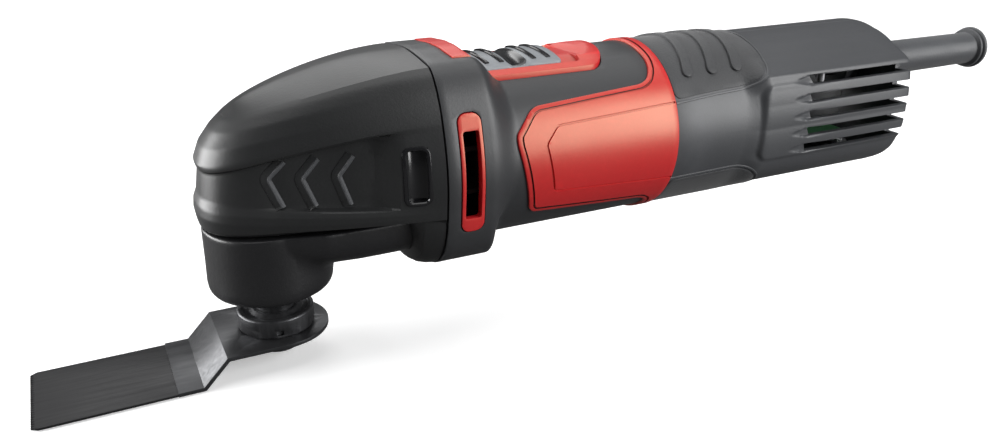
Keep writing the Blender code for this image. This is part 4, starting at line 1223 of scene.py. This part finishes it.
flange_profile = [
    (6.05, 9.15), (11.3, 9.15), (11.8, 9.6), (11.8, 14.8), (11.3, 15.3), (10.4, 15.3),
    (9.8, 14.6), (8.2, 14.4), (6.9, 15.4), (6.05, 15.4), (6.05, 9.15),
]
flange = turned("tool_flange_detail", filleted(flange_profile, 0.25), "Z", AXIS, OXIDE, 96)
facets = []
flat = [(11.15, -8), (16, -8), (16, 8), (11.15, 8)]
for k in range(6):
    turn = Matrix.Rotation(radians(60 * k + 34), 2)
    facets.append(prism("facet", [tuple(turn @ Vector(p)) for p in flat], "Z", 8, 11.9))
facets.append(prism("set_hole", rounded(-2.3, -0.3, 9.9, 11.9, 0.3, 2), "Y", -14, -10.2))
boolean(flange, facets)
rounded_edges(flange, 0.12)
flange_bits = [flange]
pin_profile = filleted([(0.01, 8.0), (1.4, 8.0), (1.4, 9.6), (0.01, 9.6)], 0.3)
for k in range(4):
    centre = (*spoke(PIN_CIRCLE_R, 90 * k + 45), 0)
    flange_bits.append(turned(f"pin_{k}", pin_profile, "Z", centre, OXIDE, 20))
show(merged("tool_flange_detail", flange_bits), "spindle_group", "black_steel", "tool_flange")

SPINDLE = [
    (3.05, 9.3), (5.9, 9.3), (5.9, 16.2), (6.1, 17.6), (7.2, 19.8), (8.4, 21.6), (8.6, 22.6),
    (6.5, 22.8), (6.5, 25.6), (5.95, 25.6), (5.95, 66.2), (4.0, 66.2), (4.0, 75.5), (3.5, 76.0),
    (0.02, 76.0), (0.02, 26.0), (3.05, 26.0), (3.05, 9.3),
]
WASHER = [
    (3.3, 5.7), (9.4, 5.7), (10.0, 6.2), (10.0, 7.4), (9.6, 7.75), (3.3, 7.75), (3.3, 5.7),
]
for ob in (
    turned("spindle_detail", filleted(SPINDLE, 0.3), "Z", AXIS, OXIDE, 64),
    turned("clamp_washer_detail", filleted(WASHER, 0.2), "Z", AXIS, OXIDE, 72),
):
    show(ob, "spindle_group", "black_steel", ob.name.removesuffix("_detail"))

bolt_profile = [
    (0.01, 24.0), (2.95, 24.0), (2.95, 5.6), (6.6, 5.6), (7.4, 5.0), (7.4, 2.4), (6.2, 1.5),
    (0.01, 1.5),
]
bolt = turned("clamp_bolt_detail", filleted(bolt_profile, 0.25), "Z", AXIS, OXIDE, 72)
boolean(bolt, [prism("socket", [spoke(2.89, 60 * k) for k in range(6)], "Z", 0, 4.6)])
show(rounded_edges(bolt, 0.15), "spindle_group", "black_steel", "clamp_bolt")

# Speed dial: a knurled wheel with finger flutes.
dial_low, dial_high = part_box("speed_dial")
dial_x = along((dial_low.x + dial_high.x) / 2)
dial_y = (dial_low.y + dial_high.y) / 2 / MM
wheel = []
for k in range(144):
    a = 2 * pi * k / 144
    r = 6.35 + 0.25 * sin(24 * a)
    wheel.append((dial_x + r * cos(a), dial_y + r * sin(a)))
dial = rounded_edges(prism("speed_dial_detail", wheel, "Z", 36.0, 38.4, INNER), 0.2, 2, 60)
shaft_profile = filleted([(0.01, 37.0), (1.5, 37.0), (1.5, 43.7), (0.01, 43.7)], 0.2)
dial_shaft = turned("dial_shaft", shaft_profile, "Z", (dial_x, dial_y, 0), INNER, 24)
show(merged("speed_dial_detail", [dial, dial_shaft]), "dial", "inner_plastic", "speed_dial")

# ------------------------------------------------------------------ CAD nodes that keep their shape
for entry in frame["record"]["materials"]:
    for name in entry.get("nodes", []):
        node = frame["nodes"][name]
        node.data.materials.clear()
        node.data.materials.append(FINISHES[entry["slot"]])
        shade_smooth(node, 32)

# ------------------------------------------------------------------ floor, light, camera
paper = Look("pale_floor", (0.86, 0.86, 0.86), 0.8)
paper.rough(paper.noise(4), 0.75, 0.85)
# Seen directly the floor is pale; in reflections and bounced light it's a darker table.
seen = paper.add("LightPath").outputs["Is Camera Ray"]
paper.tint(paper.spread(seen, 1.0, 0.0, 0.0, 1.0), (0.10, 0.10, 0.10))
glow = paper.add("Mix", data_type="RGBA")
fill(glow, A=(0, 0, 0, 1), B=(1, 1, 1, 1))
paper.join(seen, glow.inputs["Factor"])
paper.join(glow.outputs["Result"], paper.shader.inputs["Emission Color"])
fill(paper.shader, Emission_Strength=0.35)
bpy.ops.mesh.primitive_plane_add(size=6.0, location=(0, 0, cad_bounds[0][2] - 0.0005))
floor = bpy.context.object
floor.name = "floor"
floor.data.materials.append(paper.mat)


def soft_light(name, place, target, size, power, shape=(1.0, 1.0)):
    data = bpy.data.lights.new(name, "AREA")
    data.shape = "RECTANGLE"
    data.size, data.size_y = size * shape[0], size * shape[1]
    data.energy = power
    light = in_scene(name, data)
    light.location = place
    light.rotation_euler = (Vector(target) - Vector(place)).to_track_quat("-Z", "Y").to_euler()


soft_light("overhead", (0.0, 0.1, 1.1), (0.0, 0.0, 0.06), 1.2, 12.0, (1.4, 0.9))
soft_light("back_strip", (0.05, 0.95, 0.80), (0.0, 0.0, 0.07), 0.6, 4.0, (1.5, 0.7))
soft_light("right_softbox", (0.53, -0.70, 0.34), (0.04, 0.0, 0.06), 0.60, 10.5, (0.8, 1.2))
soft_light("left_softbox", (-0.85, 0.35, 0.20), (-0.08, 0.0, 0.05), 0.7, 14.0, (1.2, 0.6))

studio = bpy.data.worlds.new("studio")
bpy.context.scene.world = studio
studio.use_nodes = True
tree = studio.node_tree
background = tree.nodes["Background"]
fill(background, Strength=1.0)
path = tree.nodes.new("ShaderNodeLightPath")
pale = tree.nodes.new("ShaderNodeMix")
pale.data_type = "RGBA"
fill(pale, A=(0.09, 0.092, 0.095, 1), B=(1, 1, 1, 1))
tree.links.new(path.outputs["Is Camera Ray"], pale.inputs["Factor"])
tree.links.new(pale.outputs["Result"], background.inputs["Color"])

LENS, SENSOR = 31.87, 36.0
TURN, TILT = radians(-26.27), radians(22.59)
EYE = (-45.92, -252.82, 146.52)
camera_data = bpy.data.cameras.new("camera")
camera_data.lens, camera_data.sensor_width = LENS, SENSOR
camera_data.sensor_fit = "HORIZONTAL"
camera_data.clip_start = 0.01
camera = in_scene("camera", camera_data)
camera.location = world(EYE)
back = Vector((sin(TURN) * cos(TILT), -cos(TURN) * cos(TILT), sin(TILT)))
camera.rotation_euler = back.to_track_quat("Z", "Y").to_euler()
bpy.context.scene.camera = camera
bpy.context.scene.view_settings.view_transform = "Standard"
